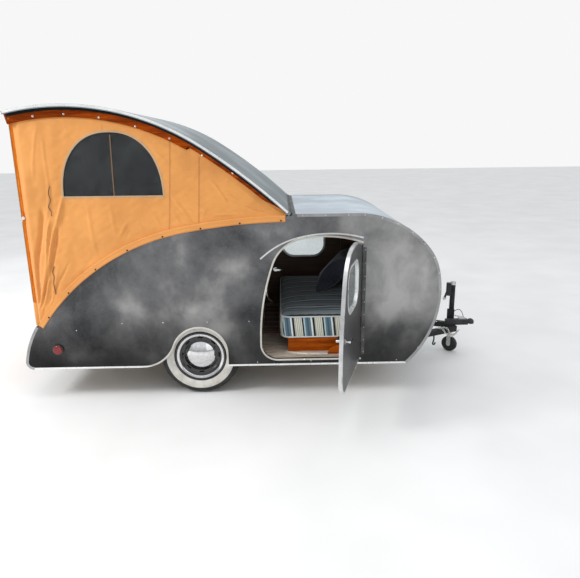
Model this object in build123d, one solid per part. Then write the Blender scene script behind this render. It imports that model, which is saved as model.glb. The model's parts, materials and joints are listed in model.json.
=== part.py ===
from build123d import *
import os
from math import asin, atan2, cos, degrees, radians, sin, tan

# Teardrop trailer with a raised hatch and canvas sides, in millimetres.
# It is drawn with X forward from the roof hinge, Y from the centre plane (the right side is
# negative) and Z up from the ground. Each piece is then moved so that the origin of the part
# is the centre of the tow ball in the coupler.

# Body shell
body_width = 1600
body_bottom = 260
body_height = 1219
wall_thickness = 25
panel_thickness = 20
floor_top = 335
floor_thickness = 20
roof_run = 491

# Body outline, as arcs tangent to each other: straight run before the arc, radius, turn in degrees
nose_upper_rows = [
    (roof_run, 730, -51.85),
    (0, 427, -24.45),
]
nose_lower_turn = -60
hatch_rows = [
    (0, 4666, 10.3),
    (0, 1825, 46.0),
]
apron_turn = 23.7
tail_radius = 60

# Hatch
hatch_open = 43.1
skin_thickness = 6
seal_gap = 6
flange_clearance = 6
flange_thickness = 2
flange_depth = 24
rib_thickness = 22
rib_clearance = 7
rib_depth_rear = 84
rib_depth_front = 58
rib_notch_x = -894
rib_front_x = -45
bow_depth = 25
bow_width = 45
bow_count = 6
hinge_half_gap = 7

# Rear folding frame
frame_pivot_depth = 55
frame_upper_length = 746
frame_lower_length = 660
stile_width = 40
stile_depth = 25
frame_side_clearance = 11
strap_thickness = 4
frame_pin_radius = 6
pin_clearance = 0.2
canvas_thickness = 3
soft_clearance = 0.3

# Canvas sides
hem_drop = 55
canvas_lift = 82

# Doors
door_gap = 5
door_bottom = 315
door_front_x = 545
door_front_drop = 229
door_open = 73
door_top_heading = 160
door_top_rows = [
    (0, 871, 32),
    (0, 290, 59),
]
door_rear_turn = 19
door_corner_radius = 125
door_rear_straight = 36
window_x = 150
window_drop = 469
window_width = 430
window_height = 320
window_corner = 120
glass_thickness = 4
door_trim_width = 14
trim_thickness = 1.5
trim_leg = 20
sill_strip_height = 15

# Gutter over each door, as arcs like the body outline
gutter_lift = 46
gutter_width = 10
gutter_reach = 16
gutter_wall = 3
gutter_heading = 165
gutter_rows = [
    (0, 1000, 30),
    (0, 620, 24),
    (0, 2000, 1.7),
]

# Piano hinges
barrel_radius = 4.5
hinge_pin_radius = 2.5
hinge_seat = 4
leaf_width = 28
leaf_thickness = 1.5
knuckle_gap = 0.5

# Wheels and running gear
wheel_x = -757
tyre_radius = 327
tyre_width = 150
rim_radius = 190
disc_flat_radius = 100
disc_flat_y = -42
disc_cone_radius = 136
disc_cone_y = -26
disc_metal = 4
hubcap_radius = 115
hubcap_crown = 34
hubcap_shell = 2
wheel_inset = 45
spindle_radius = 17
arm_slope = 36.14
axle_tube = 60
tub_clearance = 46
tub_thickness = 6
tub_inner_y = 560

# Wheel opening in the side wall
arch_radius = 213
arch_centre_rise = 45
arch_shift = 7
arch_sweep = 160

# Chassis and tongue
rail_width = 50
rail_height = 50
rail_wall = 3
rail_outer_y = 550
rail_front_x = 645
rail_rear_x = -1990
crossmember_x = [620, 80, -480, -1240, -1965]
tongue_apex_x = 1560
tongue_apex_y = 42
tongue_angle = 25

# Coupler
coupler_x = 1706
ball_height = 335
socket_radius = 25.5
socket_mouth = 12
socket_wall = 6
socket_dome = 26
coupler_width = 66
neck_overlap = 90

# Jack, on the outside of the left tongue rail and in line with it
jack_from_apex = 35
jack_plate_thickness = 8
jack_boss = 12
jack_pivot_z = 410
jack_pin_radius = 12
jack_tube_radius = 24
jack_tube_bottom = 232
jack_tube_top = 700
jack_leg_radius = 20
jack_wheel_radius = 75
jack_wheel_width = 36
jack_wheel_yaw = 18
jack_crown_top = 175

# Bed and soft things
bed_rear_x = -40
bed_side_gap = 90
bed_height = 118
mattress_rear_x = -75
mattress_thickness = 205
mattress_front_x = 985
pillow_thickness = 120
pillow_lean = 42
pillow_turn = 16

# Lamps
lamp_x = -1874
lamp_z = 428
lamp_radius = 42

half_width = body_width / 2
roof_z = body_bottom + body_height
wall_inner_y = half_width - wall_thickness
hinge_z = roof_z + hinge_seat
roof_hinge = (0, 0, hinge_z)
hatch_axis = Axis(roof_hinge, (0, 1, 0))
hatch_turn = sum(row[2] for row in hatch_rows)


def drop_of(rows, start_turn=0):
    """How far a chain of arcs falls, when it starts level and each arc turns downwards."""
    turn = start_turn
    drop = 0
    for run, radius, step in rows:
        after = turn + abs(step)
        drop += radius * (cos(radians(turn)) - cos(radians(after)))
        turn = after
    return drop


def door_rise(rows, heading):
    """How far a chain of arcs that turn left rises, from a first heading."""
    rise = 0
    for run, radius, turn in rows:
        rise += radius * (cos(radians(heading)) - cos(radians(heading + turn)))
        heading += turn
    return rise


# The last arc of the nose and the apron's arc take the radius that ends them on the bottom line.
nose_turn = -sum(row[2] for row in nose_upper_rows)
nose_lower_radius = (body_height - drop_of(nose_upper_rows)) / (
    cos(radians(nose_turn)) - cos(radians(nose_turn - nose_lower_turn)))
nose_rows = nose_upper_rows + [(0, nose_lower_radius, nose_lower_turn)]
apron_end_turn = hatch_turn + apron_turn
tail_drop = tail_radius * (cos(radians(apron_end_turn)) + 1)
apron_radius = (body_height - drop_of(hatch_rows) - tail_drop) / (
    cos(radians(hatch_turn)) - cos(radians(apron_end_turn)))
apron_rows = [(0, apron_radius, apron_turn), (0, tail_radius, 180 - apron_end_turn)]

# The door's rear edge is an arc of the radius that ends it upright, just above the lower corner.
door_front_height = roof_z - door_front_drop - door_bottom
window_z = roof_z - window_drop
door_top_end = door_top_heading + sum(row[2] for row in door_top_rows)
door_top_rise = door_rise(door_top_rows, door_top_heading)
door_rear_radius = (door_front_height + door_top_rise - door_corner_radius - door_rear_straight) / -cos(
    radians(door_top_end))
door_rows = door_top_rows + [(0, door_rear_radius, door_rear_turn)]


def arc_chain(start, heading, rows, inset=0):
    """Edges of a chain of runs and arcs, each tangent to the last. An inset draws the chain
    that much nearer to the centres of its arcs."""
    side = 1 if rows[0][2] > 0 else -1
    point = Vector(*start) + Vector(1, 0).rotate(Axis.Z, heading + 90 * side) * inset
    direction = Vector(1, 0).rotate(Axis.Z, heading)
    edges = []
    for run, radius, turn in rows:
        if run > 0:
            edges.append(Line(point, point + direction * run))
            point = point + direction * run
        arc = JernArc(point, direction, radius - inset, turn)
        edges.append(arc)
        point = arc @ 1
        direction = arc % 1
    return edges


def band(start, heading, rows, near, far):
    """The flat strip between two insets of one chain."""
    outer = arc_chain(start, heading, rows, near)
    inner = arc_chain(start, heading, rows, far)
    ends = [Line(outer[0] @ 0, inner[0] @ 0), Line(outer[-1] @ 1, inner[-1] @ 1)]
    return make_face(outer + inner + ends)


def rectangle(x_low, z_low, x_high, z_high):
    """A flat rectangle from two corners."""
    centre = ((x_low + x_high) / 2, (z_low + z_high) / 2)
    return Pos(*centre) * Rectangle(x_high - x_low, z_high - z_low)


def slab(face, y_low, y_high):
    """A face drawn in X and Z, made as thick as the space between two Y values."""
    return extrude(Plane.XZ.offset(-y_high) * face, amount=y_high - y_low, dir=(0, -1, 0))


def block(x_low, x_high, y_low, y_high, z_low, z_high):
    """A box from its limits."""
    centre = ((x_low + x_high) / 2, (y_low + y_high) / 2, (z_low + z_high) / 2)
    return Pos(*centre) * Box(x_high - x_low, y_high - y_low, z_high - z_low)


def rod(x, z, radius, y_low, y_high):
    """A round bar along Y."""
    return slab(Pos(x, z) * Circle(radius), y_low, y_high)


def both_sides(right):
    """A piece of the right side and its mirror image on the left."""
    return [right, mirror(right, about=Plane.XZ)]


def raised(shape):
    """A piece of the closed hatch, turned to where the open hatch holds it."""
    return shape.rotate(hatch_axis, hatch_open)


def save(name, *solids):
    """Write one node, with the ball centre as the origin."""
    found = [solid for shape in solids for solid in shape.solids()]
    moved = [solid.moved(Location((-coupler_x, 0, -ball_height))) for solid in found]
    shape = moved[0] if len(moved) == 1 else Compound(children=moved)
    export_step(shape, f"parts/{name}.step")


def body_face():
    """The side of the whole body, hatch closed."""
    rear = arc_chain((0, roof_z), 180, hatch_rows + apron_rows)
    front = arc_chain((0, roof_z), 0, nose_rows)
    return make_face(rear + front + [Line(rear[-1] @ 1, front[-1] @ 1)])


def door_face():
    """The door opening: a straight front edge, an arched top and a rounded rear."""
    top = (door_front_x, door_bottom + door_front_height)
    curve = arc_chain(top, door_top_heading, door_rows)
    side = curve[-1] @ 1
    corner_z = door_bottom + door_corner_radius
    corner = JernArc((side.X, corner_z), (0, -1), door_corner_radius, 90)
    sill = Line(corner @ 1, (door_front_x, door_bottom))
    jamb = Line((door_front_x, door_bottom), top)
    return make_face(curve + [Line(side, (side.X, corner_z)), corner, sill, jamb])


def window_face():
    """The door window, a rounded rectangle with large upper corners."""
    return Pos(window_x, window_z) * RectangleRounded(window_width, window_height, window_corner)


def arch_face():
    """The wheel opening: upright in front, round over the wheel, flared out behind."""
    centre_x = wheel_x + arch_shift
    centre_z = tyre_radius + arch_centre_rise
    front = Line((centre_x + arch_radius, body_bottom), (centre_x + arch_radius, centre_z))
    crown = JernArc(front @ 1, (0, 1), arch_radius, arch_sweep)
    flare_turn = arch_sweep - 90
    flare_radius = ((crown @ 1).Y - body_bottom) / (1 - cos(radians(flare_turn)))
    flare = JernArc(crown @ 1, crown % 1, flare_radius, -flare_turn)
    return make_face([front, crown, flare, Line(flare @ 1, front @ 0)])


def apron_band(near, far):
    """The strip between two insets of the outline below the hatch."""
    start = arc_chain((0, roof_z), 180, hatch_rows)[-1] @ 1
    return band((start.X, start.Y), 180 + hatch_turn, apron_rows, near, far)


def nose_band(near, far):
    """The strip between two insets of the roof and nose outline, clear of the hatch hinge."""
    strip = band((0, roof_z), 0, nose_rows, near, far)
    return strip - rectangle(-10, 0, hinge_half_gap + leaf_width + 2, roof_z + 10)


def side_walls():
    """Each wall is the body's side, set in under the hatch, with the door and wheel openings."""
    under_hatch = band((0, roof_z), 180, hatch_rows, 0, skin_thickness + seal_gap)
    face = body_face() - under_hatch - door_face() - arch_face()
    return both_sides(slab(face, -half_width, -wall_inner_y))


def nose_and_roof():
    """One curved panel from the roof hinge round the nose to the floor."""
    face = band((0, roof_z), 0, nose_rows, 0, panel_thickness)
    face -= rectangle(-10, 0, hinge_half_gap, roof_z + 10)
    face -= rectangle(0, 0, roof_run + 1000, floor_top - floor_thickness)
    return slab(face, -wall_inner_y, wall_inner_y)


def rear_apron():
    """The fixed panel below the hatch, curved under at the tail."""
    return slab(apron_band(0, panel_thickness), -wall_inner_y, wall_inner_y)


def inner_face(clearance):
    """The space inside the body's curved panels."""
    rear = arc_chain((0, roof_z), 180, hatch_rows + apron_rows, panel_thickness + clearance)
    front = arc_chain((0, roof_z), 0, nose_rows, panel_thickness + clearance)
    return make_face(rear + front + [Line(rear[-1] @ 1, front[-1] @ 1)])


def tub_half_length():
    """Half the length of a wheel tub."""
    return tyre_radius + tub_clearance + tub_thickness


def floor_panel():
    """The floor fills the body between the walls and is cut out over the wheels."""
    face = inner_face(0) & rectangle(-3000, floor_top - floor_thickness, 2000, floor_top)
    floor = slab(face, -wall_inner_y, wall_inner_y)
    half = tub_half_length()
    for side in (-1, 1):
        y_pair = sorted((side * tub_inner_y, side * wall_inner_y))
        floor -= block(wheel_x - half, wheel_x + half, *y_pair, 0, floor_top + 1)
    return floor


def wheel_tubs():
    """A half-round tub over each wheel, closed towards the cabin."""
    outer = tub_half_length()
    bottom = floor_top - floor_thickness
    above = rectangle(wheel_x - outer, bottom, wheel_x + outer, roof_z)
    disc = Pos(wheel_x, tyre_radius) * Circle(outer) & above
    hollow = Pos(wheel_x, tyre_radius) * Circle(outer - tub_thickness)
    tub = slab(disc - hollow, -wall_inner_y, -tub_inner_y)
    tub += slab(disc, -tub_inner_y - tub_thickness, -tub_inner_y)
    return both_sides(tub)


def roof_header():
    """The wooden spar that carries the roof's rear edge and the hatch hinge."""
    header = block(hinge_half_gap + 3, hinge_half_gap + 48, -wall_inner_y, wall_inner_y,
                   roof_z - panel_thickness - 60, roof_z - panel_thickness)
    return header


def edge_trims():
    """Angle trims over the corners where the walls meet the roof, nose and apron."""
    below = rectangle(0, 0, roof_run + 1000, body_bottom)
    pieces = []
    for side_leg, cap_leg in (
        (nose_band(-trim_thickness, trim_leg) - below, nose_band(-trim_thickness, 0) - below),
        (apron_band(-trim_thickness, trim_leg), apron_band(-trim_thickness, 0)),
    ):
        trim = slab(side_leg, -half_width - trim_thickness, -half_width)
        trim += slab(cap_leg, -half_width, -half_width + trim_leg)
        pieces += both_sides(trim)
    return pieces


def side_trims():
    """Flat bright strips round the door opening, round the wheel opening and along the bottom."""
    outside = (-half_width - trim_thickness, -half_width)
    door_ring = offset(door_face(), door_trim_width) - door_face()
    door_ring -= rectangle(door_front_x, 0, door_front_x + 100, roof_z)
    arch_ring = offset(arch_face(), door_trim_width) - arch_face()
    arch_ring &= rectangle(-3000, body_bottom + sill_strip_height + 1, 2000, roof_z)
    arch_ring &= body_face()
    pieces = []
    for face in (door_ring, arch_ring):
        pieces += both_sides(slab(face, *outside))
    return pieces


def sill_strips():
    """The bright strip along the bottom of each wall, ahead of and behind the wheel."""
    face = body_face() & rectangle(-3000, body_bottom, 2000, body_bottom + sill_strip_height)
    face -= nose_band(-trim_thickness, trim_leg + 1)
    face -= apron_band(-trim_thickness, trim_leg + 1)
    face -= offset(arch_face(), 1)
    return both_sides(slab(face, -half_width - trim_thickness, -half_width))


def drip_rails():
    """A gutter over each door, which leaves the door's curve at the rear and runs out straighter."""
    half = gutter_width / 2
    start = (door_front_x, door_bottom + door_front_height + gutter_lift)
    bar = slab(band(start, gutter_heading, gutter_rows, -half, half),
               -half_width - gutter_reach, -half_width)
    trough = band(start, gutter_heading, gutter_rows, -half + gutter_wall, half - gutter_wall)
    bar -= slab(trough, -half_width - gutter_reach, -half_width - gutter_reach / 2)
    return both_sides(bar)


def piano_hinge(length, count):
    """Two leaves round one pin along Z. The fixed leaf lies towards +X and the moving leaf
    towards -X, both with their backs at Y = -seat. Knuckles take turns along the pin."""
    pitch = length / count
    root_x = barrel_radius + 0.7
    plate_y = -hinge_seat + leaf_thickness / 2
    plate = Box(leaf_width - root_x, leaf_thickness, length)
    fixed = Pos((leaf_width + root_x) / 2, plate_y) * plate
    moving = Pos(-(leaf_width + root_x) / 2, plate_y) * plate
    fixed += Cylinder(hinge_pin_radius, length - knuckle_gap)
    for index in range(count):
        centre = -length / 2 + pitch * (index + 0.5)
        height = pitch - knuckle_gap
        knuckle = Pos(0, 0, centre) * Cylinder(barrel_radius, height)
        tab = Box(root_x + 1, leaf_thickness, height)
        if index % 2 == 0:
            fixed += knuckle + Pos((root_x + 1) / 2, plate_y, centre) * tab
        else:
            bore = Pos(0, 0, centre) * Cylinder(hinge_pin_radius + pin_clearance, height)
            moving += (knuckle + Pos(-(root_x + 1) / 2, plate_y, centre) * tab) - bore
    return fixed, moving


def roof_hinge_leaves():
    """The hatch hinge lies along Y on top of the roof."""
    fixed, moving = piano_hinge(2 * wall_inner_y, 15)
    place = Plane(origin=roof_hinge, x_dir=(1, 0, 0), z_dir=(0, -1, 0))
    return place * fixed, place * moving


def hatch_skin():
    """The curved hatch panel with a turned-down flange along each side."""
    edge_turn = degrees(seal_gap / hatch_rows[-1][1])
    rows = hatch_rows[:-1] + [(0, hatch_rows[-1][1], hatch_rows[-1][2] - edge_turn)]
    reach = half_width + flange_clearance + flange_thickness
    front_cut = rectangle(-hinge_half_gap, 0, 10, roof_z + 10)
    skin = slab(band((0, roof_z), 180, rows, 0, skin_thickness) - front_cut, -reach, reach)
    flange = slab(band((0, roof_z), 180, rows, 0, flange_depth) - front_cut,
                  -reach, -reach + flange_thickness)
    for piece in both_sides(flange):
        skin += piece
    return skin


def rib_face():
    """The wooden side rib of the closed hatch: deep at the rear, stepped, tapered in front."""
    rear = band((0, roof_z), 180, hatch_rows, skin_thickness, skin_thickness + rib_depth_rear)
    rear &= rectangle(-3000, 0, rib_notch_x, roof_z)
    front = band((0, roof_z), 180, hatch_rows, skin_thickness, skin_thickness + rib_depth_front)
    front &= rectangle(rib_notch_x - 1, 0, rib_front_x, roof_z)
    taper = make_face(Polyline(
        (rib_notch_x * 0.6, roof_z - 150), (rib_front_x + 20, roof_z - skin_thickness - 8),
        (rib_front_x + 20, roof_z - 400), (rib_notch_x * 0.6, roof_z - 400), close=True))
    return rear + (front - taper)


def hatch_rear_end():
    """End point of the hatch's outline and its heading there."""
    edge = arc_chain((0, roof_z), 180, hatch_rows)[-1]
    return edge @ 1, edge % 1


def frame_pivot():
    """Where the folding frame is hinged, on the closed hatch."""
    end, heading = hatch_rear_end()
    inward = heading.rotate(Axis.Z, 90)
    point = end + inward * frame_pivot_depth - heading * 22
    return point.X, point.Y


def turned_point(point):
    """A point of the closed hatch, moved to the open hatch."""
    angle = radians(hatch_open)
    dx = point[0]
    dz = point[1] - hinge_z
    return dx * cos(angle) + dz * sin(angle), hinge_z - dx * sin(angle) + dz * cos(angle)


rib_outer_y = wall_inner_y - rib_clearance
rib_inner_y = rib_outer_y - rib_thickness
stile_outer_y = rib_inner_y - frame_side_clearance
upper_pivot = turned_point(frame_pivot())
middle_pivot = (upper_pivot[0], upper_pivot[1] - frame_upper_length)


def hatch_ribs():
    """A rib inside each edge of the hatch, bored for the frame's pins."""
    bore = Pos(*frame_pivot()) * Circle(frame_pin_radius + pin_clearance)
    return both_sides(slab(rib_face() - bore, -rib_outer_y, -rib_inner_y))


def hatch_bows():
    """Cross bows under the skin, between the ribs."""
    strip = band((0, roof_z), 180, hatch_rows, skin_thickness, skin_thickness + bow_depth)
    first_x = rib_front_x - bow_width
    last_x = hatch_rear_end()[0].X + 2 * bow_width
    pieces = []
    for index in range(bow_count):
        x_centre = first_x + (last_x - first_x) * index / (bow_count - 1)
        cut = rectangle(x_centre - bow_width / 2, 0, x_centre + bow_width / 2, roof_z)
        pieces.append(slab(strip & cut, -rib_inner_y, rib_inner_y))
    return pieces


def frame_leaf(top_z, bottom_z, top_round, bottom_round):
    """One leaf of the rear frame: two stiles with two rails, and rounded ends at the pivots."""
    x = upper_pivot[0]
    half_depth = stile_depth / 2
    stile = rectangle(x - half_depth, bottom_z, x + half_depth, top_z)
    if top_round:
        stile += Pos(x, top_z) * Circle(half_depth)
    if bottom_round:
        stile += Pos(x, bottom_z) * Circle(half_depth)
    leaf = slab(stile, -stile_outer_y, -stile_outer_y + stile_width)
    leaf += slab(stile, stile_outer_y - stile_width, stile_outer_y)
    for z_low in (top_z - stile_width - 20, bottom_z + 20):
        rail = rectangle(x - half_depth, z_low, x + half_depth, z_low + stile_width)
        leaf += slab(rail, -stile_outer_y, stile_outer_y)
    return leaf


def rear_frame_upper():
    """The upper leaf, with its pins in the ribs and the straps of the middle hinge."""
    strap_drop = 16
    leaf = frame_leaf(upper_pivot[1], middle_pivot[1] + strap_drop, True, False)
    strap = Pos(middle_pivot[0], middle_pivot[1] + 30) * SlotOverall(90, 22, 90)
    right_side = slab(strap, -stile_outer_y - strap_thickness, -stile_outer_y)
    right_side += rod(*middle_pivot, frame_pin_radius, -stile_outer_y, -stile_outer_y + 25)
    right_side += rod(*upper_pivot, frame_pin_radius, -rib_outer_y, -stile_outer_y)
    for piece in both_sides(right_side):
        leaf += piece
    return leaf


def rear_frame_lower():
    """The lower leaf, bored for the middle hinge's pins."""
    leaf = frame_leaf(middle_pivot[1], middle_pivot[1] - frame_lower_length, True, False)
    for bore in both_sides(rod(*middle_pivot, frame_pin_radius + pin_clearance,
                               -stile_outer_y - 1, -stile_outer_y + 26)):
        leaf -= bore
    return leaf


def rear_canvas(top_z, bottom_z):
    """A flat canvas panel stretched on the outside of one leaf."""
    x = upper_pivot[0] - stile_depth / 2 - soft_clearance
    side = stile_outer_y - 6
    return block(x - canvas_thickness, x, -side, side, bottom_z, top_z)


def rear_skirt():
    """The canvas flap between the lower leaf and the apron."""
    leaf_bottom = middle_pivot[1] - frame_lower_length
    end = hatch_rear_end()[0]
    top = leaf_bottom + 20
    x = upper_pivot[0] - stile_depth / 2 - soft_clearance
    side = stile_outer_y - 6
    return block(x - canvas_thickness, x, -side, side, end.Y - 12, top)


def canvas_side():
    """The right canvas side: a leaning sheet up to the raised rib and a hem on the wall."""
    top_edge = [edge.rotate(Axis((0, hinge_z), (0, 0, 1)), -hatch_open)
                for edge in arc_chain((0, roof_z), 180, hatch_rows, canvas_lift)]
    first = top_edge[0] @ 0
    last = top_edge[-1] @ 1
    under_rib = make_face(top_edge + [
        Line(last, (last.X, 0)), Line((last.X, 0), (first.X, 0)), Line((first.X, 0), first)])
    inside_wall = seal_gap + skin_thickness

    def above(inset):
        curve = arc_chain((0, roof_z), 180, hatch_rows, inset)
        low = curve[-1] @ 1
        start = curve[0] @ 0
        return make_face(curve + [
            Line(low, (-3000, low.Y)), Line((-3000, low.Y), (-3000, 3000)),
            Line((-3000, 3000), (start.X, 3000)), Line((start.X, 3000), start)])

    outside = half_width + soft_clearance
    hem = (under_rib & above(hem_drop)) - above(inside_wall - 4)
    hem -= apron_band(-10, trim_leg + 2)
    sheet_face = under_rib & above(inside_wall)
    end, heading = hatch_rear_end()
    chord = Vector(end.X, end.Y - roof_z)
    along = Vector(chord.X, 0, chord.Y).normalized()
    reach = chord.length * sin(radians(hatch_open))
    lean = (half_width + 5 - rib_outer_y - soft_clearance - canvas_thickness) / reach
    across = Vector(along.Z, 0, -along.X)
    across = Vector(across.X, lean, across.Z) if across.Z > 0 else Vector(-across.X, lean, -across.Z)
    tilted = Plane(origin=(0, -half_width - 4, roof_z), x_dir=along, z_dir=along.cross(across))
    leaning = tilted * Box(6000, 6000, canvas_thickness)
    sheet = slab(sheet_face, -half_width - 60, -rib_inner_y) & leaning
    return sheet + slab(hem, -outside - canvas_thickness - 2, -outside)


def door_parts():
    """The right door, closed: panel, window frame, glass and handle."""
    outer = -half_width
    inner = -wall_inner_y
    face = offset(door_face(), -door_gap)
    opening = window_face()
    lining = 2
    panel = slab(face - opening, outer, inner)
    ring = slab(opening - offset(opening, -lining), outer, inner)
    flange = offset(opening, 16) - offset(opening, -lining)
    ring += slab(flange, outer - trim_thickness, outer)
    ring += slab(flange, inner, inner + trim_thickness)
    middle = (outer + inner) / 2
    glass = slab(offset(opening, -lining), middle - glass_thickness / 2, middle + glass_thickness / 2)
    lever_x = -150
    lever_z = 700
    lever_length = 95
    handle = Part()
    for face_y, out in ((outer, -1), (inner, 1)):
        reach = 38
        rose = sorted((face_y, face_y + out * 6))
        neck = sorted((face_y, face_y + out * reach))
        grip = sorted((face_y + out * (reach - 12), face_y + out * reach))
        handle += rod(lever_x, lever_z, 22, *rose)
        handle += rod(lever_x, lever_z, 8, *neck)
        bar = Pos(lever_x + lever_length / 2 - 10, lever_z) * SlotOverall(lever_length, 18)
        handle += slab(bar, *grip)
    return panel, ring, glass, handle


door_axis_x = door_front_x - door_gap / 2
door_axis = Axis((door_axis_x, -half_width - hinge_seat, 0), (0, 0, 1))


def door_hinge():
    """The right door's hinge on the outside of the wall, door closed."""
    length = door_front_height - 60
    fixed, moving = piano_hinge(length, 9)
    place = Plane(origin=(door_axis_x, -half_width - hinge_seat, door_bottom + door_front_height / 2),
                  x_dir=(1, 0, 0), z_dir=(0, 0, -1))
    return place * fixed, place * moving


def rail_tube(length):
    """A rectangular tube along X, starting at the origin."""
    section = Rectangle(rail_width, rail_height) - Rectangle(
        rail_width - 2 * rail_wall, rail_height - 2 * rail_wall)
    return extrude(Plane.YZ * section, amount=length, dir=(1, 0, 0))


rail_z = floor_top - floor_thickness - rail_height / 2


def chassis_rails():
    """The two long rails under the floor."""
    y = rail_outer_y - rail_width / 2
    tube = rail_tube(rail_front_x - rail_rear_x)
    return [Pos(rail_rear_x, side * y, rail_z) * tube for side in (-1, 1)]


def chassis_crossmembers():
    """Tubes across, between the long rails."""
    gap = 2 * (rail_outer_y - rail_width)
    tube = Rot(0, 0, 90) * rail_tube(gap)
    return [Pos(x, -gap / 2, rail_z) * tube for x in crossmember_x]


def tongue_rails():
    """The two rails of the A-frame, from the front crossmember to the coupler."""
    cross_front = crossmember_x[0] + rail_width / 2
    length = 1300
    pieces = []
    for side in (-1, 1):
        tube = Rot(0, 0, 180 - side * tongue_angle) * rail_tube(length)
        tube = Pos(tongue_apex_x, side * tongue_apex_y, rail_z) * tube
        low, high = sorted((side * (tongue_apex_y - rail_width), side * 900))
        low = side * 3 if side > 0 else low
        high = side * 3 if side < 0 else high
        pieces.append(tube & block(cross_front, tongue_apex_x, low, high, 0, 900))
    return pieces


def coupler():
    """A pressed coupler: a channel on the A-frame that ends in a round ball socket."""
    z = ball_height
    top = z + socket_dome + 6
    body = Pos(coupler_x, 0, z - socket_mouth) * Cylinder(
        coupler_width / 2, 30, align=(Align.CENTER, Align.CENTER, Align.MIN))
    body = fillet(body.edges().group_by(Axis.Z)[-1], 8)
    head = Pos(coupler_x, 0, z) * Sphere(socket_dome + 8)
    head &= block(coupler_x - 60, coupler_x + 60, -60, 60, z - socket_mouth, z + 60)
    body += head
    rail_top = rail_z + rail_height / 2
    neck = block(tongue_apex_x - neck_overlap, coupler_x - socket_radius - 4,
                 -coupler_width / 2 + 4, coupler_width / 2 - 4, rail_top, top - 4)
    body += neck
    mouth = Line((0, -socket_mouth), (socket_radius, -socket_mouth))
    wall = Line(mouth @ 1, (socket_radius, socket_wall))
    rise = socket_dome - socket_wall
    dome_radius = (socket_radius ** 2 + rise ** 2) / (2 * rise)
    dome_z = socket_dome - dome_radius
    half = (degrees(atan2(socket_wall - dome_z, socket_radius)) + 90) / 2
    halfway = (dome_radius * cos(radians(half)), dome_z + dome_radius * sin(radians(half)))
    dome = ThreePointArc(wall @ 1, halfway, (0, socket_dome))
    axis_line = Line((0, socket_dome), (0, -socket_mouth))
    section = Plane.XZ * make_face([mouth, wall, dome, axis_line])
    return body - Pos(coupler_x, 0, z) * revolve(section, Axis.Z)


def coupler_latch():
    """The lever on top of the coupler."""
    z = ball_height + socket_dome + 2
    profile = make_face(Polyline(
        (coupler_x - 120, z), (coupler_x - 45, z), (coupler_x - 55, z + 18),
        (coupler_x - 145, z + 40), (coupler_x - 150, z + 32), (coupler_x - 112, z + 18), close=True))
    return slab(profile, -11, 11)


def axle():
    """A rubber-sprung axle: a square tube, a trailing arm at each end and the wheel spindles."""
    tube_z = rail_z - rail_height / 2 - axle_tube / 2
    tube_x = wheel_x + (tyre_radius - tube_z) / tan(radians(arm_slope))
    arm_inner = tub_inner_y + 12
    arm_outer = arm_inner + 22
    half = axle_tube / 2
    beam = block(tube_x - half, tube_x + half, -arm_inner, arm_inner, tube_z - half, tube_z + half)
    arm = make_hull((Pos(tube_x, tube_z) * Circle(36)).edges()
                    + (Pos(wheel_x, tyre_radius) * Circle(30)).edges())
    side = slab(arm, -arm_outer, -arm_inner)
    side += rod(wheel_x, tyre_radius, spindle_radius, -half_width + wheel_inset + 52, -arm_inner)
    pad = block(tube_x - 45, tube_x + 45, -rail_outer_y, -rail_outer_y + rail_width,
                tube_z, rail_z - rail_height / 2)
    side += pad
    for piece in both_sides(side):
        beam += piece
    return beam


tyre_centre_y = -half_width + wheel_inset + tyre_width / 2


def spun(points_face):
    """A section drawn with Y across and the radius up, turned round the right wheel's axle."""
    section = Plane(origin=(wheel_x, tyre_centre_y, tyre_radius), x_dir=(0, 1, 0),
                    z_dir=(1, 0, 0)) * points_face
    return revolve(section, Axis((wheel_x, 0, tyre_radius), (0, 1, 0)))


def tyre():
    """The right tyre, with round shoulders and open beads."""
    half = tyre_width / 2
    bead = half - 14
    shoulder = tyre_radius - 22
    belly_r = (rim_radius + tyre_radius) / 2 - 4
    outer = [
        Line((-bead, rim_radius), (-bead, rim_radius + 12)),
        ThreePointArc((-bead, rim_radius + 12), (-half, belly_r), (-half + 14, shoulder)),
        ThreePointArc((-half + 14, shoulder), (0, tyre_radius), (half - 14, shoulder)),
        ThreePointArc((half - 14, shoulder), (half, belly_r), (bead, rim_radius + 12)),
        Line((bead, rim_radius + 12), (bead, rim_radius)),
    ]
    inner_bead = bead - 14
    inner_top = tyre_radius - 18
    inside = [
        Line((bead, rim_radius), (inner_bead, rim_radius)),
        Line((inner_bead, rim_radius), (half - 14, belly_r)),
        Line((half - 14, belly_r), (half - 34, inner_top)),
        Line((half - 34, inner_top), (-half + 34, inner_top)),
        Line((-half + 34, inner_top), (-half + 14, belly_r)),
        Line((-half + 14, belly_r), (-inner_bead, rim_radius)),
        Line((-inner_bead, rim_radius), (-bead, rim_radius)),
    ]
    return spun(make_face(outer + inside))


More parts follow.
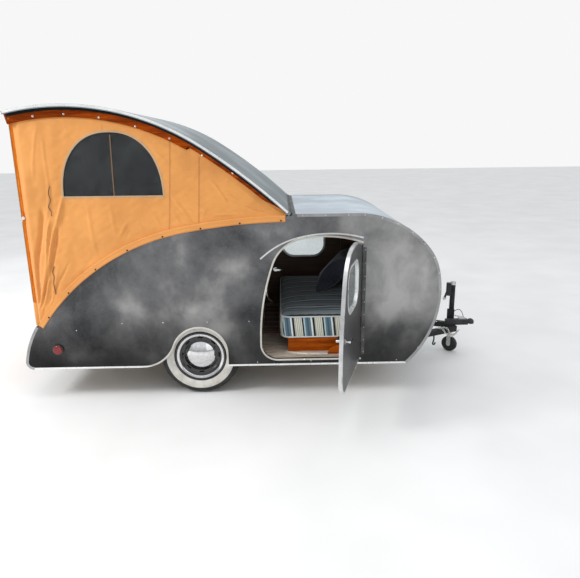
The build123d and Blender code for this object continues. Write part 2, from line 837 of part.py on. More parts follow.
def rim():
    """The right steel wheel: drop-centre rim, dished disc with slots, and the hub."""
    bead = tyre_width / 2 - 14
    well = rim_radius - 26
    metal = 3
    points = [
        (-bead - 8, rim_radius + 14), (-bead - 4, rim_radius + 14), (-bead, rim_radius),
        (-bead + 24, rim_radius), (-bead + 34, well), (bead - 34, well), (bead - 24, rim_radius),
        (bead, rim_radius), (bead + 4, rim_radius + 14), (bead + 8, rim_radius + 14),
        (bead + 3, rim_radius - metal), (bead - 22, rim_radius - metal),
        (bead - 34, well - metal), (-bead + 34, well - metal), (-bead + 22, rim_radius - metal),
        (-bead - 3, rim_radius - metal),
    ]
    wheel = spun(make_face(Polyline(*points, close=True)))
    hub_radius = 40
    bore_radius = spindle_radius + 0.3
    disc = [
        (-30, well - metal + 0.5), (-26, well - metal + 0.5), (-22, 132),
        (disc_flat_y + disc_metal, disc_flat_radius), (disc_flat_y + disc_metal, 45),
        (-30, hub_radius), (62, hub_radius), (62, bore_radius), (disc_flat_y, bore_radius),
        (disc_flat_y, disc_flat_radius), (disc_cone_y, disc_cone_radius),
    ]
    wheel += spun(make_face(Polyline(*disc, close=True)))
    slot = Pos(0, 148) * SlotOverall(44, 12)
    for index in range(8):
        hole = Pos(wheel_x, tyre_radius) * (Rot(0, 0, 45 * index) * slot)
        wheel -= slab(hole, tyre_centre_y - 60, tyre_centre_y)
    return wheel


def hubcap():
    """A plain domed cap on the middle of the right wheel."""
    radius = hubcap_radius
    crown = hubcap_crown
    shell = hubcap_shell
    slope = (disc_cone_y - disc_flat_y) / (disc_cone_radius - disc_flat_radius)
    back = disc_flat_y + slope * (radius - 2 * shell - disc_flat_radius) - soft_clearance
    big = (radius ** 2 + crown ** 2) / (2 * crown)
    half = degrees(asin(radius / big)) / 2
    mid = (back - crown + big - big * cos(radians(half)), big * sin(radians(half)))
    small = big - shell
    inner_r = radius - shell * 2
    inner_half = degrees(asin(inner_r / small)) / 2
    centre = back - crown + big
    inner_mid = (centre - small * cos(radians(inner_half)), small * sin(radians(inner_half)))
    inner_edge = centre - (small ** 2 - inner_r ** 2) ** 0.5
    section = make_face([
        ThreePointArc((back, radius), mid, (back - crown, 0)),
        Line((back - crown, 0), (centre - small, 0)),
        ThreePointArc((centre - small, 0), inner_mid, (inner_edge, inner_r)),
        Line((inner_edge, inner_r), (back, radius)),
    ])
    return spun(section)


def bed():
    """The bed's wooden base, the mattress on it and the pillow at the nose."""
    half = wall_inner_y - bed_side_gap
    board = 18
    floor_space = inner_face(soft_clearance)
    top = floor_top + bed_height
    outline = floor_space & rectangle(bed_rear_x, floor_top, 2000, top)
    hollow = floor_space & rectangle(bed_rear_x + board, floor_top, 2000, top - board)
    base = slab(outline, -half, half) - slab(hollow, -half + board, half - board)
    roomy = inner_face(12)
    soft = roomy & rectangle(mattress_rear_x, top + soft_clearance, mattress_front_x,
                             top + mattress_thickness)
    mattress = slab(soft, -half - 12, half + 12)
    rear_edges = mattress.edges().filter_by(Axis.Y).group_by(Axis.X)[0]
    mattress = fillet(rear_edges, 35)
    return base, mattress


def pillow():
    """A soft pillow that stands on its lower edge and leans forward, turned a little to the door."""
    cushion = Box(pillow_thickness, 620, 400)
    cushion = Rot(0, pillow_lean, 0) * fillet(cushion.edges(), pillow_thickness * 0.42)
    top = floor_top + bed_height + mattress_thickness
    low = cushion.bounding_box().min.Z
    return Pos(449, 162, top + soft_clearance - low) * (Rot(0, 0, -pillow_turn) * cushion)


def tail_lamps():
    """A round lamp on the rear of each wall: the bezel and the domed lens."""
    face_y = -half_width
    bezel = rod(lamp_x, lamp_z, lamp_radius, face_y - 14, face_y)
    bezel -= rod(lamp_x, lamp_z, lamp_radius - 6, face_y - 15, face_y - 4)
    lens = rod(lamp_x, lamp_z, lamp_radius - 6.3, face_y - 22, face_y - 4)
    lens = fillet(lens.edges().group_by(Axis.Y)[0], 7)
    return both_sides(bezel), both_sides(lens)


def on_rail(piece):
    """A piece of the jack, from its own frame to the left rail. In its own frame X runs along
    the rail, Y is zero at the rail's middle and the jack stands at negative Y."""
    back = radians(tongue_angle)
    x = tongue_apex_x - jack_from_apex * cos(back)
    y = -tongue_apex_y - jack_from_apex * sin(back)
    placed = Pos(x, y, 0) * (Rot(0, 0, tongue_angle) * piece)
    return mirror(placed, about=Plane.XZ)


jack_plate_y = -rail_width / 2 - jack_plate_thickness
jack_y = jack_plate_y - jack_boss - jack_tube_radius


def jack_bracket():
    """The plate on the rail's side and the pin that the jack swings on."""
    plate = block(-34, 34, jack_plate_y, -rail_width / 2, rail_z - rail_height / 2,
                  jack_pivot_z + 30)
    pin = rod(0, jack_pivot_z, jack_pin_radius, jack_plate_y - jack_boss + 2, jack_plate_y)
    return on_rail(plate + pin)


def jack_tube():
    """The jack's outer tube with its cap and the boss that turns on the pin."""
    inside = jack_leg_radius + 0.5
    height = jack_tube_top - jack_tube_bottom
    base = (Align.CENTER, Align.CENTER, Align.MIN)
    tube = Cylinder(jack_tube_radius, height, align=base) - Cylinder(inside, height - 30, align=base)
    tube = Pos(0, jack_y, jack_tube_bottom) * tube
    boss = rod(0, jack_pivot_z, 28, jack_y, jack_plate_y - 1)
    boss -= Pos(0, jack_y, 0) * Cylinder(jack_tube_radius - 1, 4000)
    boss -= rod(0, jack_pivot_z, jack_pin_radius + pin_clearance, jack_plate_y - jack_boss + 1.5,
                jack_plate_y)
    return on_rail(tube + boss)


def jack_crank():
    """The gear housing on the back of the tube and the crank arm with its knob."""
    x_back = -jack_tube_radius
    z = jack_tube_top - 75
    housing = block(x_back - 36, 0, jack_y - 22, jack_y + 22, z - 62, z + 62)
    housing = fillet(housing.edges().filter_by(Axis.Z).group_by(Axis.X)[0], 8)
    housing -= Pos(0, jack_y, 0) * Cylinder(jack_tube_radius, 4000)
    shaft = rod(x_back - 20, z, 8, jack_y - 44, jack_y - 20)
    arm = make_hull((Pos(x_back - 20, z) * Circle(12)).edges()
                    + (Pos(x_back - 56, z - 110) * Circle(9)).edges())
    crank = housing + shaft + slab(arm, jack_y - 46, jack_y - 38)
    crank += rod(x_back - 56, z - 110, 12, jack_y - 86, jack_y - 44)
    return on_rail(crank)


def jack_leg():
    """The inner tube and the fork that holds the jack wheel."""
    base = (Align.CENTER, Align.CENTER, Align.MIN)
    leg = Pos(0, jack_y, jack_crown_top - 5) * Cylinder(jack_leg_radius, 300, align=base)
    half_gap = jack_wheel_width / 2 + 2
    cheek_thickness = 4
    crown = Box(52, 2 * (half_gap + cheek_thickness), 10)
    fork = Pos(0, 0, jack_crown_top - 5) * crown
    cheek = (Pos(0, jack_wheel_radius) * Circle(20)
             + rectangle(-20, jack_wheel_radius, 20, jack_crown_top))
    for y_low in (-half_gap - cheek_thickness, half_gap):
        fork += slab(cheek, y_low, y_low + cheek_thickness)
    fork += rod(0, jack_wheel_radius, 8, -half_gap - 7, half_gap + 7)
    return on_rail(leg + Pos(0, jack_y, 0) * (Rot(0, 0, jack_wheel_yaw) * fork))


def jack_wheel():
    """The solid jack wheel, dished on both sides and bored for its pin."""
    half = jack_wheel_width / 2
    wheel = rod(0, 0, jack_wheel_radius, -half, half)
    wheel = fillet(wheel.edges(), 6)
    for y_low in (-half - 1, half - 4):
        wheel -= rod(0, 0, 52, y_low, y_low + 5) - rod(0, 0, 20, y_low, y_low + 5)
    wheel -= rod(0, 0, 8.2, -half - 1, half + 1)
    return on_rail(Pos(0, jack_y, jack_wheel_radius) * (Rot(0, 0, jack_wheel_yaw) * wheel))


def build():
    """Make every piece and write one file for each node."""
    right_wall, left_wall = side_walls()
    save("side_wall_right", right_wall)
    save("side_wall_left", left_wall)
    save("nose_and_roof", nose_and_roof())
    save("rear_apron", rear_apron())
    save("floor", floor_panel())
    save("wheel_tubs", *wheel_tubs())
    save("roof_header", roof_header())
    save("edge_trims", *edge_trims())
    save("side_trims", *side_trims())
    save("sill_strips", *sill_strips())
    save("drip_rails", *drip_rails())
    save("chassis_rails", *chassis_rails())
    save("chassis_crossmembers", *chassis_crossmembers())
    save("tongue_rails", *tongue_rails())
    save("coupler", coupler())
    save("coupler_latch", coupler_latch())
    save("axle", axle())
    base, mattress = bed()
    save("bed_base", base)
    save("mattress", mattress)
    save("pillow", pillow())
    bezels, lenses = tail_lamps()
    save("tail_lamp_bezels", *bezels)
    save("tail_lamp_lenses", *lenses)

    fixed_leaf, hatch_leaf = roof_hinge_leaves()
    save("roof_hinge_leaf", fixed_leaf)
    save("hatch_hinge_leaf", raised(hatch_leaf))
    save("hatch_skin", raised(hatch_skin()))
    save("hatch_ribs", *[raised(rib) for rib in hatch_ribs()])
    save("hatch_bows", *[raised(bow) for bow in hatch_bows()])
    save("rear_frame_upper", rear_frame_upper())
    save("rear_frame_lower", rear_frame_lower())
    leaf_bottom = middle_pivot[1] - frame_lower_length
    save("rear_canvas_upper", rear_canvas(upper_pivot[1] - 24, middle_pivot[1] + 24))
    save("rear_canvas_lower", rear_canvas(middle_pivot[1] - 4, leaf_bottom + 24))
    save("rear_skirt", rear_skirt())
    right_canvas, left_canvas = both_sides(canvas_side())
    save("canvas_side_right", right_canvas)
    save("canvas_side_left", left_canvas)

    fixed_hinge, moving_hinge = door_hinge()
    save("door_hinges", *both_sides(fixed_hinge))
    names = ("door_panel", "door_window_frame", "door_glass", "door_handle", "door_hinge_leaf")
    for name, piece in zip(names, (*door_parts(), moving_hinge)):
        save(f"{name}_right", piece.rotate(door_axis, door_open))
        save(f"{name}_left", mirror(piece, about=Plane.XZ))

    for name, make in (("tyre", tyre), ("rim", rim), ("hubcap", hubcap)):
        right_piece, left_piece = both_sides(make())
        save(f"{name}_right", right_piece)
        save(f"{name}_left", left_piece)

    save("jack_bracket", jack_bracket())
    save("jack_tube", jack_tube())
    save("jack_crank", jack_crank())
    save("jack_leg", jack_leg())
    save("jack_wheel", jack_wheel())


os.makedirs("parts", exist_ok=True)
build()
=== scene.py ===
# %% [markdown]
# A small aluminium teardrop trailer, parked on its jack with the rear hatch raised. The hatch
# stands on a folding frame, canvas closes its sides, and a side door is open on the bed.
# The CAD model brings every rigid part in its real place. This file gives each part its
# finish and adds what is sewn, stuffed, screwed on or only shows as texture.
# All lengths are in metres, with the tow ball at the origin, X forward and Z up.

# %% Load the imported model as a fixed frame
import bpy
import json
import math
import numpy as np
from mathutils import Matrix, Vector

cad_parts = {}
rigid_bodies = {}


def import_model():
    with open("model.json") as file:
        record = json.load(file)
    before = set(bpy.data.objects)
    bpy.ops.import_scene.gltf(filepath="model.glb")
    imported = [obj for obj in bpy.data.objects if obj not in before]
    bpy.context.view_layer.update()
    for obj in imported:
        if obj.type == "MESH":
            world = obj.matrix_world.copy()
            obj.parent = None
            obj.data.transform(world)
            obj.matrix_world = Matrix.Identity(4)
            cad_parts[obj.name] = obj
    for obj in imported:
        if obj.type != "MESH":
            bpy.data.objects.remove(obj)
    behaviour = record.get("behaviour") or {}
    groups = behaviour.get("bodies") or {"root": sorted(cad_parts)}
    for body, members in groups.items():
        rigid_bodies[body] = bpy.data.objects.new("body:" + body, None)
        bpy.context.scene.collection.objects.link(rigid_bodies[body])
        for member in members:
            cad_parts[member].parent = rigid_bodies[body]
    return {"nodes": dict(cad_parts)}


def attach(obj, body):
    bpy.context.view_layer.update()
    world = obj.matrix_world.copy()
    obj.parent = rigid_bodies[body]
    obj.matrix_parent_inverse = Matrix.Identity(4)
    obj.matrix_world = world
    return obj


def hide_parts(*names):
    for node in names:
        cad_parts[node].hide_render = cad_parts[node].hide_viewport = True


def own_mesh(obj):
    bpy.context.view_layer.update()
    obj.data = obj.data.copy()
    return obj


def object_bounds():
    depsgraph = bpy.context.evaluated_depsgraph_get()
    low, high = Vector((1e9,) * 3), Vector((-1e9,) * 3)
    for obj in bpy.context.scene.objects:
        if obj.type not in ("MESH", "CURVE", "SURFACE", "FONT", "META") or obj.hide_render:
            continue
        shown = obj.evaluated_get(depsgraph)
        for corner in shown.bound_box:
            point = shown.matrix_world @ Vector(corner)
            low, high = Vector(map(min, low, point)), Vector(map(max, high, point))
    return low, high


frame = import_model()
cad_box = [list(map(float, corner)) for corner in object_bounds()]
nodes = frame["nodes"]
print("nodes", len(nodes), "CAD box", cad_box)

# %% [markdown]
# The camera stands where the picture was taken: at eye height, a little ahead of the middle of
# the trailer, looking slightly down. Its three axes were worked out from straight edges and
# the wheels, so they are written as a turned frame and not as angles.

# %% Camera
EYE = (-1.7936, -4.9083, 1.6527)
EYE_RIGHT = (0.9998, -0.0190, -0.0112)
EYE_DOWN = (-0.0157, -0.2599, -0.9655)
EYE_FORWARD = (0.0155, 0.9655, -0.2601)
LENS = 33.80
LENS_SHIFT = 0.0036

camera_data = bpy.data.cameras.new("camera")
camera_data.sensor_width = 36
camera_data.lens = LENS
camera_data.shift_y = LENS_SHIFT
camera_data.clip_end = 200
camera = bpy.data.objects.new("camera", camera_data)
bpy.context.scene.collection.objects.link(camera)
turn = np.eye(4)
turn[:3, 0] = EYE_RIGHT
turn[:3, 1] = -np.array(EYE_DOWN)
turn[:3, 2] = -np.array(EYE_FORWARD)
turn[:3, 3] = EYE
camera.matrix_world = Matrix(turn.tolist())
bpy.context.scene.camera = camera
bpy.context.scene.view_settings.view_transform = "Standard"
print("camera at", EYE)

# %% [markdown]
# Every finish is built from the same few steps: a coordinate, a noise or a wave on it, a
# ramp of colours, and a little bump. Short helpers for those steps keep each recipe readable.
# Coordinates are the object's own, so that a pattern stays on its piece when a body moves.

# %% Helpers for materials
def start_material(name, color, roughness, metallic=0.0, **sockets):
    """A material with one shader. Values that are the same all over go on its own sockets."""
    material = bpy.data.materials.new(name)
    material.use_nodes = True
    shader = material.node_tree.nodes["Principled BSDF"]
    shader.inputs["Base Color"].default_value = (*color, 1)
    shader.inputs["Roughness"].default_value = roughness
    shader.inputs["Metallic"].default_value = metallic
    for key, value in sockets.items():
        shader.inputs[key.replace("_", " ")].default_value = value
    return material, material.node_tree, shader


def place(tree, scale=(1, 1, 1), turn=(0, 0, 0)):
    """The object's coordinates, turned and stretched."""
    coords = tree.nodes.new("ShaderNodeTexCoord")
    mapping = tree.nodes.new("ShaderNodeMapping")
    mapping.inputs["Scale"].default_value = scale
    mapping.inputs["Rotation"].default_value = turn
    tree.links.new(coords.outputs["Object"], mapping.inputs["Vector"])
    return mapping.outputs[0]


def noise(tree, vector, scale, detail, rough=0.5, warp=0.0):
    """Cloudy noise on a vector."""
    node = tree.nodes.new("ShaderNodeTexNoise")
    node.inputs["Scale"].default_value = scale
    node.inputs["Detail"].default_value = detail
    node.inputs["Roughness"].default_value = rough
    node.inputs["Distortion"].default_value = warp
    tree.links.new(vector, node.inputs["Vector"])
    return node.outputs["Fac"]


def ramp(tree, fac, stops):
    """A ramp of colours from (position, colour) rows."""
    node = tree.nodes.new("ShaderNodeValToRGB")
    elements = node.color_ramp.elements
    while len(elements) < len(stops):
        elements.new(0.5)
    for element, (position, color) in zip(elements, stops):
        element.position = position
        element.color = (*color, 1) if len(color) == 3 else color
    tree.links.new(fac, node.inputs[0])
    return node.outputs[0]


def mix(tree, fac, first, second, kind="MIX"):
    """A mix of two colours, by a number or a link."""
    node = tree.nodes.new("ShaderNodeMix")
    node.data_type = "RGBA"
    node.blend_type = kind
    for socket, value in ((node.inputs[0], fac), (node.inputs[6], first), (node.inputs[7], second)):
        if isinstance(value, bpy.types.NodeSocket):
            tree.links.new(value, socket)
        elif isinstance(value, (int, float)):
            socket.default_value = value
        else:
            socket.default_value = (*value, 1)
    return node.outputs[2]


def math_node(tree, operation, *values):
    """One sum on numbers or links."""
    node = tree.nodes.new("ShaderNodeMath")
    node.operation = operation
    for socket, value in zip(node.inputs, values):
        if isinstance(value, bpy.types.NodeSocket):
            tree.links.new(value, socket)
        else:
            socket.default_value = value
    return node.outputs[0]


def axis_value(tree, vector, axis):
    """One of the three numbers of a vector."""
    node = tree.nodes.new("ShaderNodeSeparateXYZ")
    tree.links.new(vector, node.inputs[0])
    return node.outputs["XYZ".index(axis)]


def far_from(tree, vector, x, z):
    """The distance from a line along Y: the root of (X - x) squared + (Z - z) squared."""
    dx = math_node(tree, "SUBTRACT", axis_value(tree, vector, "X"), x)
    dz = math_node(tree, "SUBTRACT", axis_value(tree, vector, "Z"), z)
    squares = [math_node(tree, "MULTIPLY", step, step) for step in (dx, dz)]
    return math_node(tree, "SQRT", math_node(tree, "ADD", *squares))


def soft_step(tree, value, limits, ends):
    """A soft step between two limits, from the first of two ends to the second."""
    node = tree.nodes.new("ShaderNodeMapRange")
    node.interpolation_type = "SMOOTHSTEP"
    for socket, number in zip(("From Min", "From Max", "To Min", "To Max"), (*limits, *ends)):
        node.inputs[socket].default_value = number
    tree.links.new(value, node.inputs["Value"])
    return node.outputs[0]


def bump(tree, shader, height, strength, distance):
    """A bump on the shader's normal."""
    node = tree.nodes.new("ShaderNodeBump")
    node.inputs["Strength"].default_value = strength
    node.inputs["Distance"].default_value = distance
    tree.links.new(height, node.inputs["Height"])
    tree.links.new(node.outputs[0], shader.inputs["Normal"])


def paint(tree, shader, color, roughness=None):
    """Links a worked-out colour or roughness to the shader."""
    if color is not None:
        tree.links.new(color, shader.inputs["Base Color"])
    if roughness is not None:
        tree.links.new(roughness, shader.inputs["Roughness"])


# %% [markdown]
# The light is that of a cloudy day: an even pale sky, one large soft lamp above, a smaller one
# at the rear that rakes over the canvas and brings out its creases, and two weak ones on the
# camera's side and behind. Metal needs something to reflect, so the sky is brighter above than
# near the ground. Only camera rays see the pale backdrop.

# %% Sky, lamps and floor
GROUND = -0.335
SKY_LIGHT = 0.88
SKY_TONES = ((0.42, (0.30, 0.30, 0.29)), (0.72, (0.95, 0.97, 1.0)))
BACKDROP = (0.93, 0.93, 0.93, 1)


def world_light(strength):
    """A sky that is darker below the horizon and plain and pale to the camera."""
    world = bpy.data.worlds.new("studio")
    bpy.context.scene.world = world
    world.use_nodes = True
    tree = world.node_tree
    tree.nodes.clear()
    coords = tree.nodes.new("ShaderNodeTexCoord")
    height = axis_value(tree, coords.outputs["Generated"], "Z")
    tone = ramp(tree, math_node(tree, "MULTIPLY_ADD", height, 0.5, 0.5), SKY_TONES)
    sky = tree.nodes.new("ShaderNodeBackground")
    sky.inputs["Strength"].default_value = strength
    plain = tree.nodes.new("ShaderNodeBackground")
    plain.inputs["Color"].default_value = BACKDROP
    path = tree.nodes.new("ShaderNodeLightPath")
    pick = tree.nodes.new("ShaderNodeMixShader")
    out = tree.nodes.new("ShaderNodeOutputWorld")
    tree.links.new(tone, sky.inputs["Color"])
    tree.links.new(path.outputs["Is Camera Ray"], pick.inputs[0])
    tree.links.new(sky.outputs[0], pick.inputs[1])
    tree.links.new(plain.outputs[0], pick.inputs[2])
    tree.links.new(pick.outputs[0], out.inputs[0])


def area_lamp(name, place, target, size, power):
    """A square lamp at one point, turned to face another."""
    data = bpy.data.lights.new(name, "AREA")
    data.size = size
    data.energy = power
    lamp = bpy.data.objects.new(name, data)
    bpy.context.scene.collection.objects.link(lamp)
    back = np.array(place, float) - np.array(target, float)
    back /= np.linalg.norm(back)
    side = np.cross((0, 0, 1), back)
    side /= np.linalg.norm(side)
    matrix = np.eye(4)
    matrix[:3, 0] = side
    matrix[:3, 1] = np.cross(back, side)
    matrix[:3, 2] = back
    matrix[:3, 3] = place
    lamp.matrix_world = Matrix(matrix.tolist())
    return lamp


world_light(SKY_LIGHT)
MIDDLE = (-1.9, 0.0, 0.6)
area_lamp("lamp_above", (-2.2, -1.2, 6.0), MIDDLE, 4.0, 80)
area_lamp("lamp_rear_left", (-7.6, -3.0, 4.4), MIDDLE, 1.8, 230)
area_lamp("lamp_camera_side", (1.6, -6.0, 2.6), MIDDLE, 4.0, 25)
area_lamp("lamp_behind", (-4.8, 5.5, 3.2), MIDDLE, 4.0, 30)

floor_mesh = bpy.data.meshes.new("ground")
reach = 40.0
floor_mesh.from_pydata(
    [(-reach, -reach, GROUND), (reach, -reach, GROUND), (reach, reach, GROUND),
     (-reach, reach, GROUND)], [], [(0, 1, 2, 3)])
ground = bpy.data.objects.new("ground", floor_mesh)
bpy.context.scene.collection.objects.link(ground)
print("floor at", GROUND)

# %% [markdown]
# The floor is plain and pale, and its own colour keeps it pale: the lamps aren't raised for it.

# %% Floor finish
floor_material, tree, shader = start_material("pale_floor", (0.84, 0.84, 0.83), 0.9)
grain = noise(tree, place(tree), 1.3, 2)
paint(tree, shader, ramp(tree, grain, [(0.3, (0.82, 0.82, 0.81)), (0.7, (0.88, 0.88, 0.87))]))
floor_mesh.materials.append(floor_material)

# %% [markdown]
# The side walls are old bare aluminium. It isn't polished: oxide and rubbing have left dark
# grey sheet with cloudy pale patches that run up and down, and the sheet is lighter towards
# the nose. On top of that, pale and dark spots at listed places are painted reflections, and
# the colour fades darker towards the bottom as painted shade. Three noises of different size
# mix dark and pale metal, fine scratches along the sheet give the roughness. The inside of a
# wall or a door is lined with dark stained board, which starts at its inner face. The near door
# stands open in the model, so its coordinates are turned back about its hinge before that test.

# %% Aluminium sheet
WALL_INNER_Y = 0.7757
LOW_SHADE_WAVE = 0.5
DOOR_HINGE = (-1.1635, -0.804)
DOOR_OPEN = math.radians(73)


def closed_door(tree):
    """The open near door's coordinates as they are with the door shut: turned by minus the
    opening angle about the hinge, R(p - h) + h."""
    c, s = math.cos(-DOOR_OPEN), math.sin(-DOOR_OPEN)
    x, y = DOOR_HINGE
    shut = place(tree, (1, 1, 1), (0, 0, -DOOR_OPEN))
    mapping = shut.node
    mapping.inputs["Location"].default_value = (x - (c * x - s * y), y - (s * x + c * y), 0)
    return shut


def inside_board(tree, outside_color, coordinates):
    """Stained board wherever the surface is nearer to the middle than the inner wall face."""
    grain_at = place(tree, (1.2, 1, 26))
    grain = noise(tree, grain_at, 1.6, 5, 0.6, 0.4)
    board = ramp(tree, grain, [(0.3, (0.085, 0.045, 0.024)), (0.7, (0.17, 0.095, 0.050))])
    y = math_node(tree, "ABSOLUTE", axis_value(tree, coordinates, "Y"))
    outside = math_node(tree, "GREATER_THAN", y, WALL_INNER_Y)
    return mix(tree, outside, board, outside_color), outside


def mottled_sheet(name, dark, middle, pale, front=None, board=False, metallic=0.78, open_door=False,
                  low=None, painted_reflections=()):
    """Clouds of pale metal over dark metal, with streaks along the sheet. Front is a range of
    X and how much paler the metal gets over it. Low is a range of Z and the share of the
    colour that is left at the bottom: painted shade towards the bottom. Painted reflections
    are pale and dark spots at listed places: X, Z, reach, amount."""
    material, tree, shader = start_material(name, middle, 0.42, metallic)
    here = closed_door(tree) if open_door else place(tree)
    clouds = noise(tree, here, 1.7, 4, 0.5, 0.25)
    smears = noise(tree, place(tree, (1.0, 1.0, 0.7)), 5.0, 4, 0.6, 0.3)
    specks = noise(tree, here, 62, 2)
    amount = math_node(tree, "MULTIPLY_ADD", smears, 0.30, math_node(tree, "MULTIPLY", clouds, 0.70))
    if front is not None:
        along = soft_step(tree, axis_value(tree, here, "X"), front[:2], (0.0, front[2]))
        amount = math_node(tree, "ADD", amount, along)
    # Painted reflections: pale and dark spots added at listed places
    if painted_reflections:
        shaken = noise(tree, place(tree, (1.0, 1.0, 1.3)), 3.2, 4, 0.65)
    for patch_x, patch_z, reach_out, gain in painted_reflections:
        far = math_node(tree, "MULTIPLY_ADD", shaken, reach_out, far_from(tree, here, patch_x, patch_z))
        spot = soft_step(tree, far, (reach_out * 1.5, reach_out * 0.3), (0.0, gain))
        amount = math_node(tree, "ADD", amount, spot)
    color = ramp(tree, amount, [(0.40, dark), (0.55, middle), (0.74, pale)])
    color = mix(tree, math_node(tree, "MULTIPLY", specks, 0.14), color, (0.45, 0.46, 0.47))
    scratch = noise(tree, place(tree, (2.2, 60, 60)), 4.0, 4, 0.7)
    rough = ramp(tree, scratch, [(0.3, (0.34, 0.34, 0.34)), (0.7, (0.52, 0.52, 0.52))])
    # Painted shade: over the range of Low the colour fades darker towards the bottom, with a wavy edge
    if low is not None:
        z = math_node(tree, "MULTIPLY_ADD", clouds, LOW_SHADE_WAVE, axis_value(tree, here, "Z"))
        color = mix(tree, soft_step(tree, z, low[:2], (low[2], 1.0)), (0.0, 0.0, 0.0), color)
    if board:
        color, outside = inside_board(tree, color, here)
        tree.links.new(math_node(tree, "MULTIPLY", outside, metallic), shader.inputs["Metallic"])
    paint(tree, shader, color, rough)
    bump(tree, shader, scratch, 0.06, 0.002)
    return material


WALL_DARK = (0.050, 0.051, 0.054)
WALL_MIDDLE = (0.158, 0.158, 0.161)
WALL_PALE = (0.45, 0.445, 0.435)
# Painted reflections on the wall. Columns: X, Z, reach, amount (negative is darker)
WALL_PAINTED_REFLECTIONS = (
    (-2.60, 0.82, 0.26, 0.16), (-2.15, 0.72, 0.26, 0.19), (-3.00, 0.52, 0.22, 0.12),
    (-2.51, 0.40, 0.18, 0.14), (-2.22, 0.22, 0.16, 0.12), (-2.79, 0.94, 0.20, 0.10),
    (-3.40, 0.34, 0.40, -0.14), (-2.02, 0.36, 0.15, -0.10), (-2.85, 0.12, 0.30, -0.08),
    (-0.95, 0.36, 0.14, 0.10), (-0.92, 0.22, 0.12, -0.06),
)
DOOR_GREYS = (0.09, 0.089, 0.09), (0.16, 0.158, 0.16), (0.32, 0.32, 0.32)
wall_metal = mottled_sheet("mottled_wall", WALL_DARK, WALL_MIDDLE, WALL_PALE,
                           front=(-3.2, -0.8, 0.105), board=True, low=(0.14, 0.92, 0.14),
                           painted_reflections=WALL_PAINTED_REFLECTIONS)
door_metal = mottled_sheet("mottled_door", *DOOR_GREYS, board=True)
open_door_metal = mottled_sheet("mottled_open_door", *DOOR_GREYS, board=True, open_door=True)
# The roof and the hatch skin are bare aluminium painted pale and blue: a painted reflection of the sky
roof_painted_sky = mottled_sheet("roof_sheet_painted_sky", (0.48, 0.54, 0.59), (0.62, 0.70, 0.76),
                           (0.78, 0.85, 0.90), metallic=0.6)
hatch_skin_painted_sky = mottled_sheet("hatch_sheet_painted_sky", (0.155, 0.19, 0.205), (0.24, 0.285, 0.305), (0.36, 0.405, 0.425),
                           metallic=0.6)
# The apron's colour fades darker towards the bottom: painted shade
apron_metal = mottled_sheet("apron_sheet", (0.07, 0.072, 0.076), (0.14, 0.142, 0.148), (0.34, 0.34, 0.35),
                            low=(-0.10, 0.45, 0.45))
print("sheet metals ready")

# %% [markdown]
# Trims are the same metal, polished by hands and weather. They are only partly metallic, and
# their near-white colour is a painted reflection of the bright sky, so they read near white under
# any light. The trim round the door opening is the same metal painted darker, as painted shade,
# with a beige tint. Hinges are plain steel. Chrome is smoother and darker between its reflections.

# %% Trim, steel and chrome
def worn_metal(name, dark, pale, roughness, scale, metallic=1.0):
    """Smooth metal with faint stains and fine scratches."""
    material, tree, shader = start_material(name, pale, roughness, metallic)
    here = place(tree)
    stain = noise(tree, here, scale, 4, 0.6)
    color = ramp(tree, stain, [(0.32, dark), (0.62, pale)])
    rough = ramp(tree, noise(tree, here, scale * 3, 3),
                 [(0.3, (roughness * 0.7,) * 3), (0.7, (roughness * 1.3,) * 3)])
    paint(tree, shader, color, rough)
    bump(tree, shader, stain, 0.03, 0.001)
    return material


# Painted reflection: a near-white colour on a partly metallic trim
trim_painted_sheen = worn_metal("bright_trim", (0.78, 0.79, 0.79), (0.90, 0.90, 0.89), 0.34, 6, 0.55)
# Painted shade: the door opening's trim is the bright trim painted darker, with a beige tint
door_trim_painted_shade = worn_metal("door_trim_shaded", (0.50, 0.48, 0.43), (0.68, 0.66, 0.60), 0.40, 6, 0.5)
corner_metal = worn_metal("corner_trim", (0.26, 0.262, 0.265), (0.40, 0.405, 0.41), 0.38, 5, 0.7)
edge_metal = worn_metal("door_edge", (0.52, 0.525, 0.53), (0.72, 0.72, 0.71), 0.32, 7, 0.8)
hinge_metal = worn_metal("hinge_steel", (0.06, 0.06, 0.06), (0.12, 0.12, 0.118), 0.45, 12)
chrome_metal = worn_metal("chrome", (0.62, 0.62, 0.62), (0.78, 0.78, 0.79), 0.10, 50)
zinc_metal = worn_metal("zinc", (0.40, 0.40, 0.39), (0.66, 0.66, 0.64), 0.35, 60)
print("bright metals ready")

# %% [markdown]
# The chassis is black paint over steel: satin and dusty, with small rust spots of a warm
# brown. The coupler is a greyer black. Wheels are glossy black enamel.

# %% Painted steel
def old_paint(name, color, rust, roughness, amount, scale=18.0, **sockets):
    """Paint with dusty clouds, and rust where a finer noise is highest."""
    material, tree, shader = start_material(name, color, roughness, 0.0, **sockets)
    here = place(tree)
    dust = noise(tree, here, scale, 4, 0.6)
    dusty = tuple(min(1.0, c * 1.9 + 0.012) for c in color)
    base = ramp(tree, dust, [(0.35, color), (0.75, dusty)])
    spots = noise(tree, here, scale * 3.2, 5, 0.7)
    mask = ramp(tree, spots, [(1 - amount - 0.04, (0, 0, 0)), (1 - amount + 0.04, (1, 1, 1))])
    paint(tree, shader, mix(tree, mask, base, rust))
    bump(tree, shader, spots, 0.12, 0.002)
    return material


